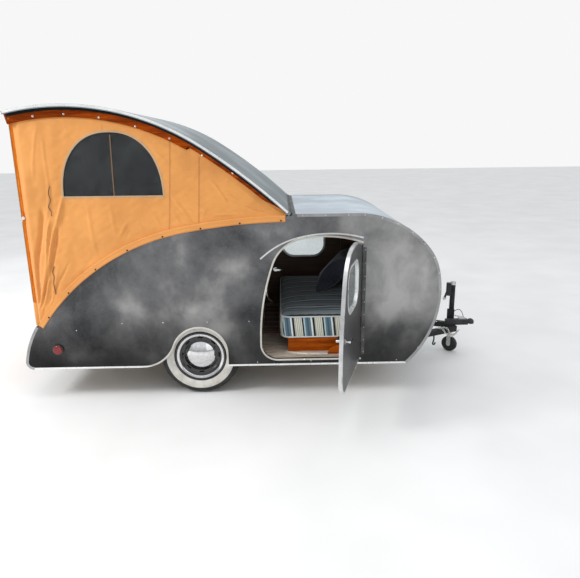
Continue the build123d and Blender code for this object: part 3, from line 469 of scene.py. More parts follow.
RUST = (0.11, 0.045, 0.02)
frame_paint = old_paint("chassis_paint", (0.008, 0.008, 0.009), RUST, 0.55, 0.34, Specular_IOR_Level=0.3)
coupler_paint = old_paint("coupler_paint", (0.022, 0.023, 0.025), RUST, 0.50, 0.30, Specular_IOR_Level=0.3)
tub_paint = old_paint("tub_paint", (0.03, 0.03, 0.031), RUST, 0.7, 0.32, 9)
wheel_paint = old_paint("wheel_enamel", (0.006, 0.006, 0.007), RUST, 0.16, 0.24, 30,
                        Coat_Weight=0.6)
print("paints ready")

# %% [markdown]
# The wood is varnished and red-brown. Grain is noise drawn out along the timber: thin dark
# lines across a warm base, with slow changes of tone. The raised hatch's ribs lean, so their
# grain is turned with them.

# %% Wood
def varnished_wood(name, dark, warm, stretch, turn=(0, 0, 0), gloss=0.42):
    """Long noise for the tone and thin sharp noise for the grain lines."""
    material, tree, shader = start_material(name, warm, gloss, 0.0, Specular_IOR_Level=0.06)
    at = place(tree, stretch, turn)
    tone = noise(tree, at, 2.2, 3, 0.5, 0.6)
    lines = noise(tree, at, 9.0, 6, 0.75, 0.8)
    color = ramp(tree, tone, [(0.3, dark), (0.68, warm)])
    line = ramp(tree, lines, [(0.40, (0.42, 0.36, 0.32)), (0.56, (1, 1, 1))])
    paint(tree, shader, mix(tree, 0.65, color, line, "MULTIPLY"))
    bump(tree, shader, lines, 0.08, 0.001)
    return material


RIB_LEAN = math.radians(-24)
rib_wood = varnished_wood("rib_wood", (0.18, 0.026, 0.001), (0.50, 0.080, 0.002),
                          (1.0, 12, 12), (0, RIB_LEAN, 0))
cross_wood = varnished_wood("cross_wood", (0.20, 0.055, 0.012), (0.34, 0.11, 0.028), (12, 1.0, 12))
# The stiles are painted paler and brighter than the other wood: painted light on stiles that the canvas
# shades
stile_wood_painted_light = varnished_wood("stile_wood_painted_light", (0.58, 0.135, 0.010), (0.82, 0.235, 0.020), (14, 14, 1.0))
bed_wood = varnished_wood("bed_wood", (0.30, 0.052, 0.002), (0.62, 0.135, 0.005), (1.0, 9, 12))
floor_wood = varnished_wood("floor_board", (0.52, 0.43, 0.34), (0.74, 0.66, 0.55), (1.2, 10, 10),
                            gloss=0.45)
print("woods ready")

# %% [markdown]
# The rest is simple: clear glass in the doors, a red lens over a lamp, rubber, and black
# plastic on the jack.

# %% Glass, lens and rubber
glass, tree, shader = start_material("door_glass", (0.82, 0.88, 0.88), 0.03, 0.0,
                                     Transmission_Weight=0.92, IOR=1.45)
smudge = noise(tree, place(tree), 6, 3)
paint(tree, shader, None, ramp(tree, smudge, [(0.4, (0.02,) * 3), (0.8, (0.10,) * 3)]))

lens, tree, shader = start_material("red_lens", (0.20, 0.005, 0.008), 0.15, 0.0, Coat_Weight=0.25)
at = place(tree)
ribs = math_node(tree, "SINE", math_node(tree, "MULTIPLY", axis_value(tree, at, "Z"), 900.0))
paint(tree, shader, ramp(tree, noise(tree, at, 40, 2), [(0.3, (0.13, 0.003, 0.006)),
                                                         (0.7, (0.27, 0.009, 0.013))]))
bump(tree, shader, ribs, 0.25, 0.001)


def rubber(name, color, roughness=0.75):
    """Dusty rubber."""
    material, tree, shader = start_material(name, color, roughness)
    here = place(tree)
    dusty = tuple(c * 1.9 + 0.004 for c in color)
    dust = noise(tree, here, 14, 4, 0.6)
    paint(tree, shader, ramp(tree, dust, [(0.4, color), (0.8, dusty)]))
    bump(tree, shader, noise(tree, here, 260, 2), 0.10, 0.0008)
    return material


whitewall_rubber = rubber("whitewall_rubber", (0.60, 0.58, 0.53), 0.6)
jack_rubber = rubber("jack_rubber", (0.020, 0.020, 0.021))
black_plastic = rubber("black_plastic", (0.014, 0.014, 0.015), 0.4)
# Near-black for the strip under the hatch's edge: a painted shadow
shadow_strip_black = rubber("shadow_strip_black", (0.002, 0.002, 0.002), 0.95)
print("glass and rubber ready")

# %% [markdown]
# Each CAD node gets its finish by name. Nodes that come in pairs take the same one.

# %% Finishes for the CAD nodes
FINISH_ROWS = (
    (wall_metal, "side_wall_right side_wall_left"), (roof_painted_sky, "nose_and_roof"),
    (hatch_skin_painted_sky, "hatch_skin"), (apron_metal, "rear_apron"), (open_door_metal, "door_panel_right"),
    (door_metal, "door_panel_left"), (corner_metal, "edge_trims"), (door_trim_painted_shade, "side_trims"),
    (trim_painted_sheen, "sill_strips drip_rails door_window_frame_right door_window_frame_left"),
    (hinge_metal, "roof_hinge_leaf hatch_hinge_leaf door_hinges door_hinge_leaf_right"
                  " door_hinge_leaf_left tail_lamp_bezels"),
    (frame_paint, "chassis_rails chassis_crossmembers tongue_rails axle jack_bracket jack_tube"),
    (coupler_paint, "coupler"), (zinc_metal, "coupler_latch jack_leg"), (tub_paint, "wheel_tubs"),
    (wheel_paint, "rim_right rim_left"),
    (chrome_metal, "hubcap_right hubcap_left door_handle_right door_handle_left"),
    (glass, "door_glass_right door_glass_left"), (lens, "tail_lamp_lenses"),
    (rib_wood, "hatch_ribs"), (cross_wood, "hatch_bows roof_header"), (bed_wood, "bed_base"),
    (stile_wood_painted_light, "rear_frame_upper rear_frame_lower"), (floor_wood, "floor"),
    (black_plastic, "jack_crank"), (jack_rubber, "jack_wheel"),
)
finishes = {name: material for material, names in FINISH_ROWS for name in names.split()}
for name, material in finishes.items():
    slots = nodes[name].data.materials
    slots.clear()
    slots.append(material)
print("finished nodes", len(finishes), "left for new pieces", sorted(set(nodes) - set(finishes)))

# %% [markdown]
# The new pieces are surfaces worked out with arrays of points: a grid for a cloth, a section
# carried along a path for a binding or a chain link, a low dome for each screw head. A piece
# is a pair: its points, and blocks of faces that index them.

# %% Helpers for meshes
def grid_faces(rows, columns, wrap_rows=False, wrap_columns=False):
    """The four-sided faces between the points of a grid. Wrapping closes a direction."""
    index = np.arange(rows * columns).reshape(rows, columns)
    if wrap_rows:
        index = np.vstack([index, index[:1]])
    if wrap_columns:
        index = np.hstack([index, index[:, :1]])
    corners = [index[:-1, :-1], index[1:, :-1], index[1:, 1:], index[:-1, 1:]]
    return np.stack(corners, -1).reshape(-1, 4)


def unit(vectors):
    """Vectors of length one."""
    return vectors / np.maximum(np.linalg.norm(vectors, axis=-1, keepdims=True), 1e-12)


def outward(piece):
    """Turns the faces round where a closed piece encloses a negative volume. The volume is
    the sum over the faces' triangles of a dot (b cross c) / 6."""
    points, blocks = piece
    volume = 0.0
    for block in blocks:
        for k in range(1, block.shape[1] - 1):
            a, b, c = points[block[:, 0]], points[block[:, k]], points[block[:, k + 1]]
            volume += np.einsum("ij,ij->i", a, np.cross(b, c)).sum()
    if volume < 0:
        blocks = [block[:, ::-1] for block in blocks]
    return points, blocks


def joined(pieces):
    """Several pieces as one: points stacked and face numbers moved on."""
    points, blocks, start = [], [], 0
    for these, faces in pieces:
        points.append(these)
        blocks += [block + start for block in faces]
        start += len(these)
    return np.vstack(points), blocks


def mirrored(piece):
    """The same piece on the other side of the middle plane."""
    points, blocks = piece
    return points * (1, -1, 1), [block[:, ::-1] for block in blocks]


def both_sides(piece):
    """A piece and its mirror image as one."""
    return joined([piece, mirrored(piece)])


def distances(points):
    """How far along a line of points each of them lies."""
    return np.concatenate([[0], np.cumsum(np.linalg.norm(np.diff(points, axis=0), axis=1))])


def points_at(points, at):
    """The points that lie at given distances along a line of points."""
    run = distances(points)
    return np.stack([np.interp(at, run, column) for column in np.asarray(points).T], -1)


def evenly(points, count):
    """A closed line of points, in equal steps."""
    return points_at(points, np.linspace(0, distances(points)[-1], count, endpoint=False))


def thickened(points, faces, direction, thickness):
    """A closed sheet from a single layer: half the thickness to each side along one direction,
    or along each point's own, with a wall along every edge that only one face has."""
    half = np.asarray(direction, float) * thickness / 2
    count = len(points)
    edges = np.vstack([faces[:, [k, (k + 1) % faces.shape[1]]] for k in range(faces.shape[1])])
    code = edges[:, 0] * count + edges[:, 1]
    back = edges[:, 1] * count + edges[:, 0]
    rim = edges[~np.isin(back, code)]
    wall = np.stack([rim[:, 1], rim[:, 0], rim[:, 0] + count, rim[:, 1] + count], -1)
    both = np.vstack([points + half, points - half])
    return outward((both, [faces, faces[:, ::-1] + count, wall]))


def square_to(normals):
    """For each normal, two directions that are square to it and to each other."""
    helper = np.where(np.abs(normals[..., 2:]) > 0.9, (1.0, 0.0, 0.0), (0.0, 0.0, 1.0))
    side = unit(np.cross(helper, normals))
    return side, np.cross(normals, side)


def upright_grid(half, limits, counts):
    """Y and Z of a grid that goes across the trailer and up."""
    return np.meshgrid(np.linspace(-half, half, counts[0]), np.linspace(*limits, counts[1]), indexing="ij")


def end_caps(rings, sides):
    """The first and the last ring of a tube, as faces."""
    first = np.arange(sides)[None]
    return [first, (first + (rings - 1) * sides)[:, ::-1]]


def bar(path, wide, thick, sides, closed=False, up=(0, 1, 0), square=1.0):
    """A section carried along a path. The section is wide across the path and thick along
    the up direction. Its outline is (cos a, sin a), each to the power of square: 1 gives an
    ellipse and less a rounder-cornered box."""
    path = np.asarray(path, float)
    if closed:
        along = np.roll(path, -1, 0) - np.roll(path, 1, 0)
    else:
        along = np.gradient(path, axis=0)
    along = unit(along)
    across = unit(np.cross(along, np.broadcast_to(np.asarray(up, float), along.shape)))
    above = np.cross(across, along)
    angle = np.linspace(0, 2 * np.pi, sides, endpoint=False) + np.pi / sides
    c = np.sign(np.cos(angle)) * np.abs(np.cos(angle)) ** square
    s = np.sign(np.sin(angle)) * np.abs(np.sin(angle)) ** square
    wide = np.broadcast_to(wide, len(path))[:, None, None]
    thick = np.broadcast_to(thick, len(path))[:, None, None]
    rings = (path[:, None] + across[:, None] * c[None, :, None] * wide
             + above[:, None] * s[None, :, None] * thick)
    blocks = [grid_faces(len(path), sides, wrap_rows=closed, wrap_columns=True)]
    if not closed:
        blocks += end_caps(len(path), sides)
    return outward((rings.reshape(-1, 3), blocks))


def ribbon(path, size, closed=False, up=(0, 1, 0)):
    """A flat tape carried along a path. The size is half its width and half its thickness."""
    return bar(path, *size, 8, closed, up, 0.5)


def cord_tube(path, radius, sides=8):
    """A round section carried along a path."""
    return bar(path, radius, radius, sides)


def lathe(profile, centre, sides, axis=(0, 1, 0), closed_profile=True, relief=0.0):
    """A section turned round an axis. Profile rows are (distance along the axis, radius). A
    relief of one row for each side is added to the radius."""
    axis = unit(np.asarray(axis, float))
    side, other = square_to(axis)
    angle = np.linspace(0, 2 * np.pi, sides, endpoint=False)
    round_it = np.cos(angle)[:, None] * side + np.sin(angle)[:, None] * other
    profile = np.asarray(profile, float)
    radius = np.broadcast_to(profile[:, 1], (sides, len(profile))) + relief
    points = (np.asarray(centre, float) + profile[None, :, :1] * axis
              + radius[..., None] * round_it[:, None])
    count = len(profile)
    blocks = [grid_faces(sides, count, wrap_rows=True, wrap_columns=closed_profile)]
    if not closed_profile:
        blocks += [(np.arange(sides) * count)[None], (np.arange(sides) * count + count - 1)[None]]
        blocks[2] = blocks[2][:, ::-1]
    return outward((points.reshape(-1, 3), blocks))


DOME = ((1.0, -0.4), (1.0, 0.25), (0.82, 0.68), (0.45, 0.94), (0.12, 1.0))


def studs(places, normals, radius, height, sides, profile=DOME):
    """Many low domes at once, each at a place and along its normal. The profile rows are
    (share of the radius, share of the height)."""
    places = np.atleast_2d(np.asarray(places, float))
    normals = unit(np.broadcast_to(np.asarray(normals, float), places.shape))
    side, other = square_to(normals)
    angle = np.linspace(0, 2 * np.pi, sides, endpoint=False)
    rings = []
    for share, rise in profile:
        ring = (np.cos(angle)[None, :, None] * side[:, None]
                + np.sin(angle)[None, :, None] * other[:, None]) * radius * share
        rings.append(places[:, None] + ring + normals[:, None] * height * rise)
    points = np.stack(rings, 1)
    per = len(profile) * sides
    starts = (np.arange(len(places)) * per)[:, None]
    faces = grid_faces(len(profile), sides, wrap_columns=True)
    blocks = [(faces[None] + starts[..., None]).reshape(-1, 4),
              np.arange(sides)[None] + starts,
              (np.arange(sides)[::-1] + per - sides)[None] + starts]
    return outward((points.reshape(-1, 3), blocks))


def build_piece(name, piece, material, body, angle=40, uv=None):
    """Makes the mesh and its object, lets it ride on its body, and shades it smooth except
    over edges sharper than an angle. An uv array has one row for each face corner."""
    points, blocks = piece
    flat = np.concatenate([block.ravel() for block in blocks]).astype(np.int32)
    sizes = np.concatenate([np.full(len(block), block.shape[1]) for block in blocks])
    starts = np.concatenate([[0], np.cumsum(sizes)[:-1]]).astype(np.int32)
    mesh = bpy.data.meshes.new(name)
    mesh.vertices.add(len(points))
    mesh.vertices.foreach_set("co", np.ascontiguousarray(points, np.float32).ravel())
    mesh.loops.add(len(flat))
    mesh.loops.foreach_set("vertex_index", flat)
    mesh.polygons.add(len(sizes))
    mesh.polygons.foreach_set("loop_start", starts)
    mesh.update(calc_edges=True)
    if uv is not None:
        layer = mesh.uv_layers.new(name="cloth")
        layer.data.foreach_set("uv", np.ascontiguousarray(uv, np.float32).ravel())
    mesh.shade_smooth()
    mesh.set_sharp_from_angle(angle=math.radians(angle))
    mesh.materials.append(material)
    piece_object = bpy.data.objects.new(name, mesh)
    bpy.context.scene.collection.objects.link(piece_object)
    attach(piece_object, body)
    triangles = int((sizes - 2).sum())
    print(f"{name}: {triangles} triangles")
    return piece_object


# %% [markdown]
# The closed hatch's edge is two arcs, a long flat one and a rounder one behind it. Raised, the
# same curve is turned about the hinge. The canvas runs between the two, and so do the hem,
# the ribs and the skin, so this curve is used again and again.

# %% The hatch's outline
HINGE = (-1.706, 1.148)
ROOF_EDGE = (-1.706, 1.144)
HATCH_TURN = math.radians(43.1)
FLAT_ARC, ROUND_ARC = 4.666, 1.825
FLAT_TURN, ROUND_TURN = math.radians(10.3), math.radians(46.0)
FLAT_LENGTH = FLAT_ARC * FLAT_TURN
WHOLE_LENGTH = FLAT_LENGTH + ROUND_ARC * ROUND_TURN


def smooth(x):
    """Zero below 0, one above 1 and a soft step between."""
    x = np.clip(x, 0, 1)
    return x * x * (3 - 2 * x)


def outline(along, inset=0.0):
    """X and Z on the closed hatch's edge, at distances from the hinge and at an inset. The
    point is centre + normal * (radius - inset), with the arc that holds the distance."""
    along = np.asarray(along, float)
    in_first = along < FLAT_LENGTH
    angle = np.where(in_first, along / FLAT_ARC, FLAT_TURN + (along - FLAT_LENGTH) / ROUND_ARC)
    normal = np.stack([-np.sin(angle), np.cos(angle)], -1)
    first = np.array(ROOF_EDGE) - (0, FLAT_ARC)
    second = first + np.array((-math.sin(FLAT_TURN), math.cos(FLAT_TURN))) * (FLAT_ARC - ROUND_ARC)
    centre = np.where(in_first[..., None], first, second)
    radius = np.where(in_first, FLAT_ARC, ROUND_ARC) - inset
    return centre + normal * radius[..., None]


def raised(points):
    """Points of the closed hatch, turned up about the hinge: R(p - h) + h."""
    dx, dz = points[..., 0] - HINGE[0], points[..., 1] - HINGE[1]
    c, s = math.cos(HATCH_TURN), math.sin(HATCH_TURN)
    return np.stack([HINGE[0] + dx * c + dz * s, HINGE[1] - dx * s + dz * c], -1)


def with_y(points, y):
    """X and Z with a Y between them."""
    return np.stack([points[..., 0], np.broadcast_to(y, points.shape[:-1]), points[..., 1]], -1)


print("hatch edge", round(WHOLE_LENGTH, 3), "m, raised end", raised(outline(WHOLE_LENGTH)).round(3))

# %% [markdown]
# The canvas is a tan cotton duck. Its weave is too fine to see from here, but the cloth has
# slow stains and threads that catch the light. The binding is a beige tape, and the window is
# a dark mesh that lets some of the inside show.

# %% Canvas, tape and mesh
def woven(name, color, darker, thread=420.0, sheen=0.25):
    """Cloth: two crossed sine waves for the weave and slow noise for wear."""
    material, tree, shader = start_material(name, color, 0.85, 0.0, Sheen_Weight=sheen)
    here = place(tree)
    wear = noise(tree, here, 3.4, 5, 0.6, 0.3)
    slubs = noise(tree, place(tree, (1, 1, 14)), 24, 2)
    color_out = ramp(tree, wear, [(0.32, darker), (0.6, color)])
    dull = tuple(c * 0.86 for c in color)
    color_out = mix(tree, math_node(tree, "MULTIPLY", slubs, 0.35), color_out, dull)
    x = math_node(tree, "SINE", math_node(tree, "MULTIPLY", axis_value(tree, here, "X"), thread))
    z = math_node(tree, "SINE", math_node(tree, "MULTIPLY", axis_value(tree, here, "Z"), thread))
    paint(tree, shader, color_out)
    bump(tree, shader, math_node(tree, "MULTIPLY", x, z), 0.12, 0.0006)
    return material


CANVAS_COLOR = (0.76, 0.325, 0.080)
CANVAS_WORN = (0.64, 0.262, 0.062)
canvas_cloth = woven("canvas_duck", CANVAS_COLOR, CANVAS_WORN)
seam_cloth = woven("canvas_seam", (0.62, 0.245, 0.062), (0.52, 0.20, 0.05))
tape_cloth = woven("binding_tape", (0.54, 0.35, 0.20), (0.44, 0.28, 0.155), 900)
strap_cloth = woven("window_strap", (0.20, 0.11, 0.06), (0.14, 0.08, 0.04), 900)
cord_cloth = woven("dark_cord", (0.055, 0.04, 0.035), (0.03, 0.022, 0.02), 1500)

mesh_cloth, tree, shader = start_material("window_mesh", (0.014, 0.018, 0.019), 0.7, 0.0, Alpha=0.80)
screen = noise(tree, place(tree), 5, 3, 0.6, 0.4)
paint(tree, shader, ramp(tree, screen, [(0.35, (0.006, 0.008, 0.009)), (0.7, (0.026, 0.031, 0.033))]))
print("cloth ready")

# %% [markdown]
# Each canvas side is cut so that it hangs from the rib's lower edge and reaches down to the
# wall's. Straight lines from the wall's edge to the rib fan out round the hinge, and they carry
# the surface. It starts just inside the wall, where there is room for it when the hatch is
# down, leans in to the rib, and along its rear edge turns in to the folding frame. On top of
# that come the creases that pull from the lower rear corner and from the window, read off the
# picture as lines with a width and a height, and short random ones at the snaps.

# %% The shape of a canvas side
TUCKED_FACE = 0.7858
RIB_MIDDLE = 0.757
STILE_FACE = 0.7362
TUCK = 0.0098
LOW_START, HIGH_START = 0.040, 0.030
BILLOW = 0.010
# Columns: seed, number of waves, shortest and longest wave, height
SIDE_RIPPLES = ((5, 30, 0.045, 0.13, 0.0011), (8, 9, 0.3, 0.7, 0.0045))
REAR_RIPPLES = (15, 14, 0.06, 0.14, 0.0020)
REAR_RIPPLES_FROM, REAR_RIPPLES_OVER = -3.15, 0.35
EASE_OUT, EASE_REAR, TURN_IN = 0.05, 0.03, 0.055
MOST_OUT, MOST_OUT_SOFT = 0.7870, 0.002
RIB_REAR, RIB_FRONT = 0.0885, 0.0625
NOTCH_ALONG, NOTCH_OVER = 0.893, 0.018
TAPER_FROM, TAPER_INSET, TAPER_SLOPE = 0.025, 0.012, 0.266
CANVAS_ROWS, CANVAS_COLUMNS = 210, 140
CREASE_DEPTH = 1.9
CREASE_NARROW = 0.72
CREASE_BEND = 0.012
CANVAS_REAR = 3.7302
# Short creases at each snap: how many, their heading from the hem and from the rib, and the
# ranges for the turn from it, length, half width and height
PULLS_EACH, HEM_HEADING, RIB_HEADING = 3, 1.15, -1.9
PULL_TURNS, PULL_LENGTHS = (-0.9, 0.9), (0.06, 0.15)
PULL_WIDTHS, PULL_HEIGHTS = (0.007, 0.012), (-0.0022, 0.0026)

# Hem snaps are distances from the hinge along the hatch's outline, rib snaps are X and Z
HEM_SNAPS = (0.085, 0.400, 0.702, 1.003, 1.304, 1.606, 1.905, 2.175)
RIB_SNAPS = ((-3.562, 1.869), (-3.341, 1.882), (-3.092, 1.856), (-2.836, 1.792), (-2.594, 1.705),
             (-2.365, 1.583), (-2.143, 1.452))

# Columns: X and Z of the start, X and Z of the end, half width, height (negative is a valley)
CREASES = (
    (-3.428, 1.309, -3.692, 0.346, 0.016, 0.010),
    (-3.522, 1.147, -3.710, 0.330, 0.014, 0.009),
    (-3.505, 1.738, -3.550, 1.102, 0.010, 0.003),
    (-3.594, 1.222, -3.712, 0.412, 0.024, -0.013),
    (-3.475, 1.131, -3.672, 0.379, 0.020, -0.010),
    (-3.495, 0.747, -3.663, 0.329, 0.012, 0.006),
    (-3.371, 0.697, -3.661, 0.300, 0.011, 0.004),
    (-3.420, 0.820, -3.600, 0.470, 0.014, -0.004),
    (-3.566, 1.822, -3.611, 1.428, 0.010, 0.003),
    (-2.622, 1.291, -2.447, 1.094, 0.013, 0.005),
    (-2.591, 1.202, -2.404, 1.060, 0.012, 0.005),
    (-2.623, 1.172, -2.526, 1.045, 0.010, 0.004),
    (-2.640, 1.060, -2.712, 0.990, 0.008, 0.003),
    (-2.957, 1.117, -3.065, 0.925, 0.014, 0.004),
    (-2.881, 1.131, -2.801, 1.000, 0.013, 0.003),
    (-2.240, 1.345, -2.109, 1.270, 0.012, 0.004),
    (-2.326, 1.405, -2.185, 1.226, 0.012, 0.004),
    (-2.018, 1.300, -1.790, 1.145, 0.009, 0.005),
    (-2.094, 1.250, -1.820, 1.125, 0.010, 0.004),
    (-2.317, 1.123, -2.097, 1.150, 0.012, 0.003),
    (-2.735, 1.653, -2.626, 1.552, 0.014, 0.003),
    (-3.090, 1.250, -3.020, 0.960, 0.018, 0.003),
    (-3.260, 1.240, -3.190, 0.830, 0.018, 0.003),
)


def rib_inset(along):
    """How far the rib's lower edge lies inside the hatch's outline: deep behind the notch,
    less in front, and tapered towards the hinge."""
    inset = RIB_FRONT + (RIB_REAR - RIB_FRONT) * smooth((along - NOTCH_ALONG) / NOTCH_OVER)
    return np.minimum(inset, TAPER_INSET + TAPER_SLOPE * np.maximum(along - TAPER_FROM, 0))


def ripples(x, z, seed, waves, shortest, longest, height):
    """Many small waves of random direction, length and phase, added up."""
    rng = np.random.default_rng(seed)
    total = np.zeros_like(x)
    for _ in range(waves):
        turn = rng.uniform(0, np.pi)
        length = rng.uniform(shortest, longest)
        phase = rng.uniform(0, 2 * np.pi)
        total += np.sin((x * math.cos(turn) + z * math.sin(turn)) * 2 * np.pi / length + phase)
    return total * height / math.sqrt(waves)


def crease_height(x, z, creases):
    """The sum of some creases. Each is a ridge, exp(-(distance / width) squared), along its
    line, and it swells from nothing at both ends."""
    total = np.zeros_like(x)
    for x0, z0, x1, z1, width, height in creases:
        run = math.hypot(x1 - x0, z1 - z0)
        ux, uz = (x1 - x0) / run, (z1 - z0) / run
        along = (x - x0) * ux + (z - z0) * uz
        bend = CREASE_BEND * np.sin(along * 9 + x0 * 40)
        away = (x - x0) * uz - (z - z0) * ux + bend
        swell = smooth((along + 0.02) / 0.12) * smooth((run + 0.03 - along) / 0.10)
        total += CREASE_DEPTH * height * swell * np.exp(-(away / (width * CREASE_NARROW)) ** 2)
    return total


def snap_pulls():
    """Short creases that fan out from each snap on the hem and on the rib, as rows like those
    of the table: three from a snap, each of its own length, angle and height."""
    rng = np.random.default_rng(91)
    hem, rib = outline(np.array(HEM_SNAPS), 0.0), np.array(RIB_SNAPS)
    rows = []
    for places, heading in ((hem, HEM_HEADING), (rib, RIB_HEADING)):
        for x, z in places:
            for _ in range(PULLS_EACH):
                turn = heading + rng.uniform(*PULL_TURNS)
                reach = rng.uniform(*PULL_LENGTHS)
                rows.append((x, z, x + reach * math.cos(turn), z + reach * math.sin(turn),
                             rng.uniform(*PULL_WIDTHS), rng.uniform(*PULL_HEIGHTS)))
    return tuple(rows)


def canvas_grid():
    """X, |Y| and Z of a canvas side, as a grid from the hinge back and from the wall up: points
    low (1 - v) + high v, with |Y| kept under a limit by m - s log(1 + exp((m - y) / s))."""
    t = np.linspace(0, 1, CANVAS_ROWS)
    many = np.linspace(1.8, WHOLE_LENGTH + 0.2, 2000)
    low_end = np.interp(CANVAS_REAR, -outline(many, TUCK)[:, 0], many)
    high_end = np.interp(CANVAS_REAR, -raised(outline(many, RIB_REAR))[:, 0], many)
    low_at = LOW_START + (low_end - LOW_START) * t
    high_at = HIGH_START + (high_end - HIGH_START) * t
    low = outline(low_at, TUCK)
    inset = rib_inset(high_at)
    high = raised(outline(high_at, inset))
    v = np.linspace(0, 1, CANVAS_COLUMNS)[None, :, None]
    flat = low[:, None] * (1 - v) + high[:, None] * v
    length = np.linalg.norm(high - low, axis=-1)[:, None]
    up = length * v[..., 0]
    x, z = flat[..., 0], flat[..., 1]
    lean = np.clip(up / np.maximum(length - 0.004, 0.01), 0, 1)
    y = TUCKED_FACE + (RIB_MIDDLE - TUCKED_FACE) * lean
    rear = (1 - t)[:, None] * (low_end - LOW_START)
    free = smooth((up - 0.006) / EASE_OUT) * smooth((length - up) / EASE_OUT) * smooth(rear / EASE_REAR)
    billow = -BILLOW * np.sin(np.pi * lean) * smooth(length / 0.8)
    waves = crease_height(x, z, CREASES + snap_pulls())
    waves += sum(ripples(x, z, *row) for row in SIDE_RIPPLES)
    waves += ripples(x, z * 0.25, *REAR_RIPPLES) * smooth((REAR_RIPPLES_FROM - x) / REAR_RIPPLES_OVER)
    y = y + free * (billow + waves)
    y = MOST_OUT - MOST_OUT_SOFT * np.logaddexp(0, (MOST_OUT - y) / MOST_OUT_SOFT)
    turned_in = 1 - smooth(rear / TURN_IN)
    y = y + (STILE_FACE - y) * turned_in
    return np.stack([x, y, z], -1)


canvas_points = canvas_grid()
canvas_flat = canvas_points.reshape(-1, 3)


def on_canvas(places, lift=0.0):
    """X, |Y| and Z on the canvas at given X and Z: the mean of the four nearest grid points,
    weighted by one over the squared distance."""
    places = np.atleast_2d(np.asarray(places, float))
    heights = np.empty(len(places))
    for start in range(0, len(places), 64):
        some = places[start:start + 64]
        away = ((some[:, None] - canvas_flat[None, :, ::2]) ** 2).sum(-1)
        near = np.argpartition(away, 4, axis=1)[:, :4]
        weight = 1 / (np.take_along_axis(away, near, 1) + 1e-8)
        heights[start:start + 64] = (canvas_flat[near, 1] * weight).sum(1) / weight.sum(1)
    return with_y(places, heights + lift)


# %% [markdown]
# The side window has a straight sill and a round top that is a little squarer than a half
# circle. The same curve cuts the hole, carries the binding round it and bounds the mesh.

# %% The window's outline
WINDOW_CENTRE = (-3.0415, 1.287)
WINDOW_HALF, WINDOW_RISE = 0.378, 0.473
WINDOW_POWER = 2.25


def window_radius(x, z):
    """One on the window's arch, less inside: the root of |x|^p + |z|^p on its own scale."""
    u = np.abs(x - WINDOW_CENTRE[0]) / WINDOW_HALF
    w = np.maximum(z - WINDOW_CENTRE[1], 0) / WINDOW_RISE
    return (u ** WINDOW_POWER + w ** WINDOW_POWER) ** (1 / WINDOW_POWER)


def window_line(count, grow=0.0):
    """The closed line round the window, in equal steps, with softened lower corners."""
    angle = np.linspace(0, np.pi, 400)
    power = 2 / WINDOW_POWER
    arch = np.stack([
        WINDOW_CENTRE[0] + (WINDOW_HALF + grow) * np.sign(np.cos(angle)) * np.abs(np.cos(angle)) ** power,
        WINDOW_CENTRE[1] + (WINDOW_RISE + grow) * np.sin(angle) ** power], -1)
    low = WINDOW_CENTRE[1] - grow
    sill = np.stack([np.linspace(arch[-1, 0] + 0.012, arch[0, 0] - 0.012, 100), np.full(100, low)], -1)
    return evenly(np.vstack([arch, sill, arch[:1]]), count)


# %% [markdown]
# Now the canvas itself: the grid without the faces inside the window, made as thick as the
# cloth. A mesh screen lies just behind the hole. The binding is a flat tape folded over the
# edge, so it shows on both faces. Seams join the three widths of cloth, a strap hangs in the
# window, and dark tie cords hang near the rear edge.

# %% Canvas sides with their windows, seams and ties
CLOTH = 0.0012
SPLINE_STEPS = 12
SCREEN_SIDES, SCREEN_RINGS, SCREEN_GROW = 96, 26, 0.006
SCREEN_BEHIND, SCREEN_THICK = 0.0035, 0.0006
SCREEN_RIPPLES = (21, 10, 0.10, 0.30, 0.0016)
BINDING_TAPE, SEAM_TAPE, STRAP_TAPE = (0.0080, 0.0022), (0.0055, 0.0010), (0.0045, 0.0006)
STRAP = ((-3.030, 1.735), (-3.036, 1.29))
TIE_RADIUS, TIE_OUT = 0.0024, 0.0060
SEAMS = (((-2.597, 1.690), (-2.637, 1.035)), ((-2.388, 1.572), (-2.412, 1.085)))
TIES = (
    ((-3.505, 1.372), (-3.516, 1.345), (-3.522, 1.310), (-3.511, 1.285), (-3.515, 1.251),
     (-3.531, 1.228), (-3.527, 1.205), (-3.512, 1.185), (-3.518, 1.150)),
    ((-3.540, 0.768), (-3.548, 0.745), (-3.560, 0.716), (-3.549, 0.694), (-3.551, 0.668),
     (-3.558, 0.640), (-3.556, 0.605), (-3.550, 0.575), (-3.553, 0.545)),
)


def spline_line(rows):
    """The smooth line that a NURBS spline makes of a few control points."""
    curve = bpy.data.curves.new("route", "CURVE")
    curve.dimensions = "3D"
    spline = curve.splines.new("NURBS")
    spline.points.add(len(rows) - 1)
    spline.points.foreach_set("co", np.column_stack([rows, np.ones(len(rows))]).ravel())
    spline.order_u = 3
    spline.use_endpoint_u = True
    spline.resolution_u = SPLINE_STEPS
    holder = bpy.data.objects.new("route", curve)
    mesh = bpy.data.meshes.new_from_object(holder)
    line = np.empty(len(mesh.vertices) * 3, np.float32)
    mesh.vertices.foreach_get("co", line)
    for data, item in ((bpy.data.meshes, mesh), (bpy.data.objects, holder), (bpy.data.curves, curve)):
        data.remove(item)
    return line.reshape(-1, 3).astype(float)


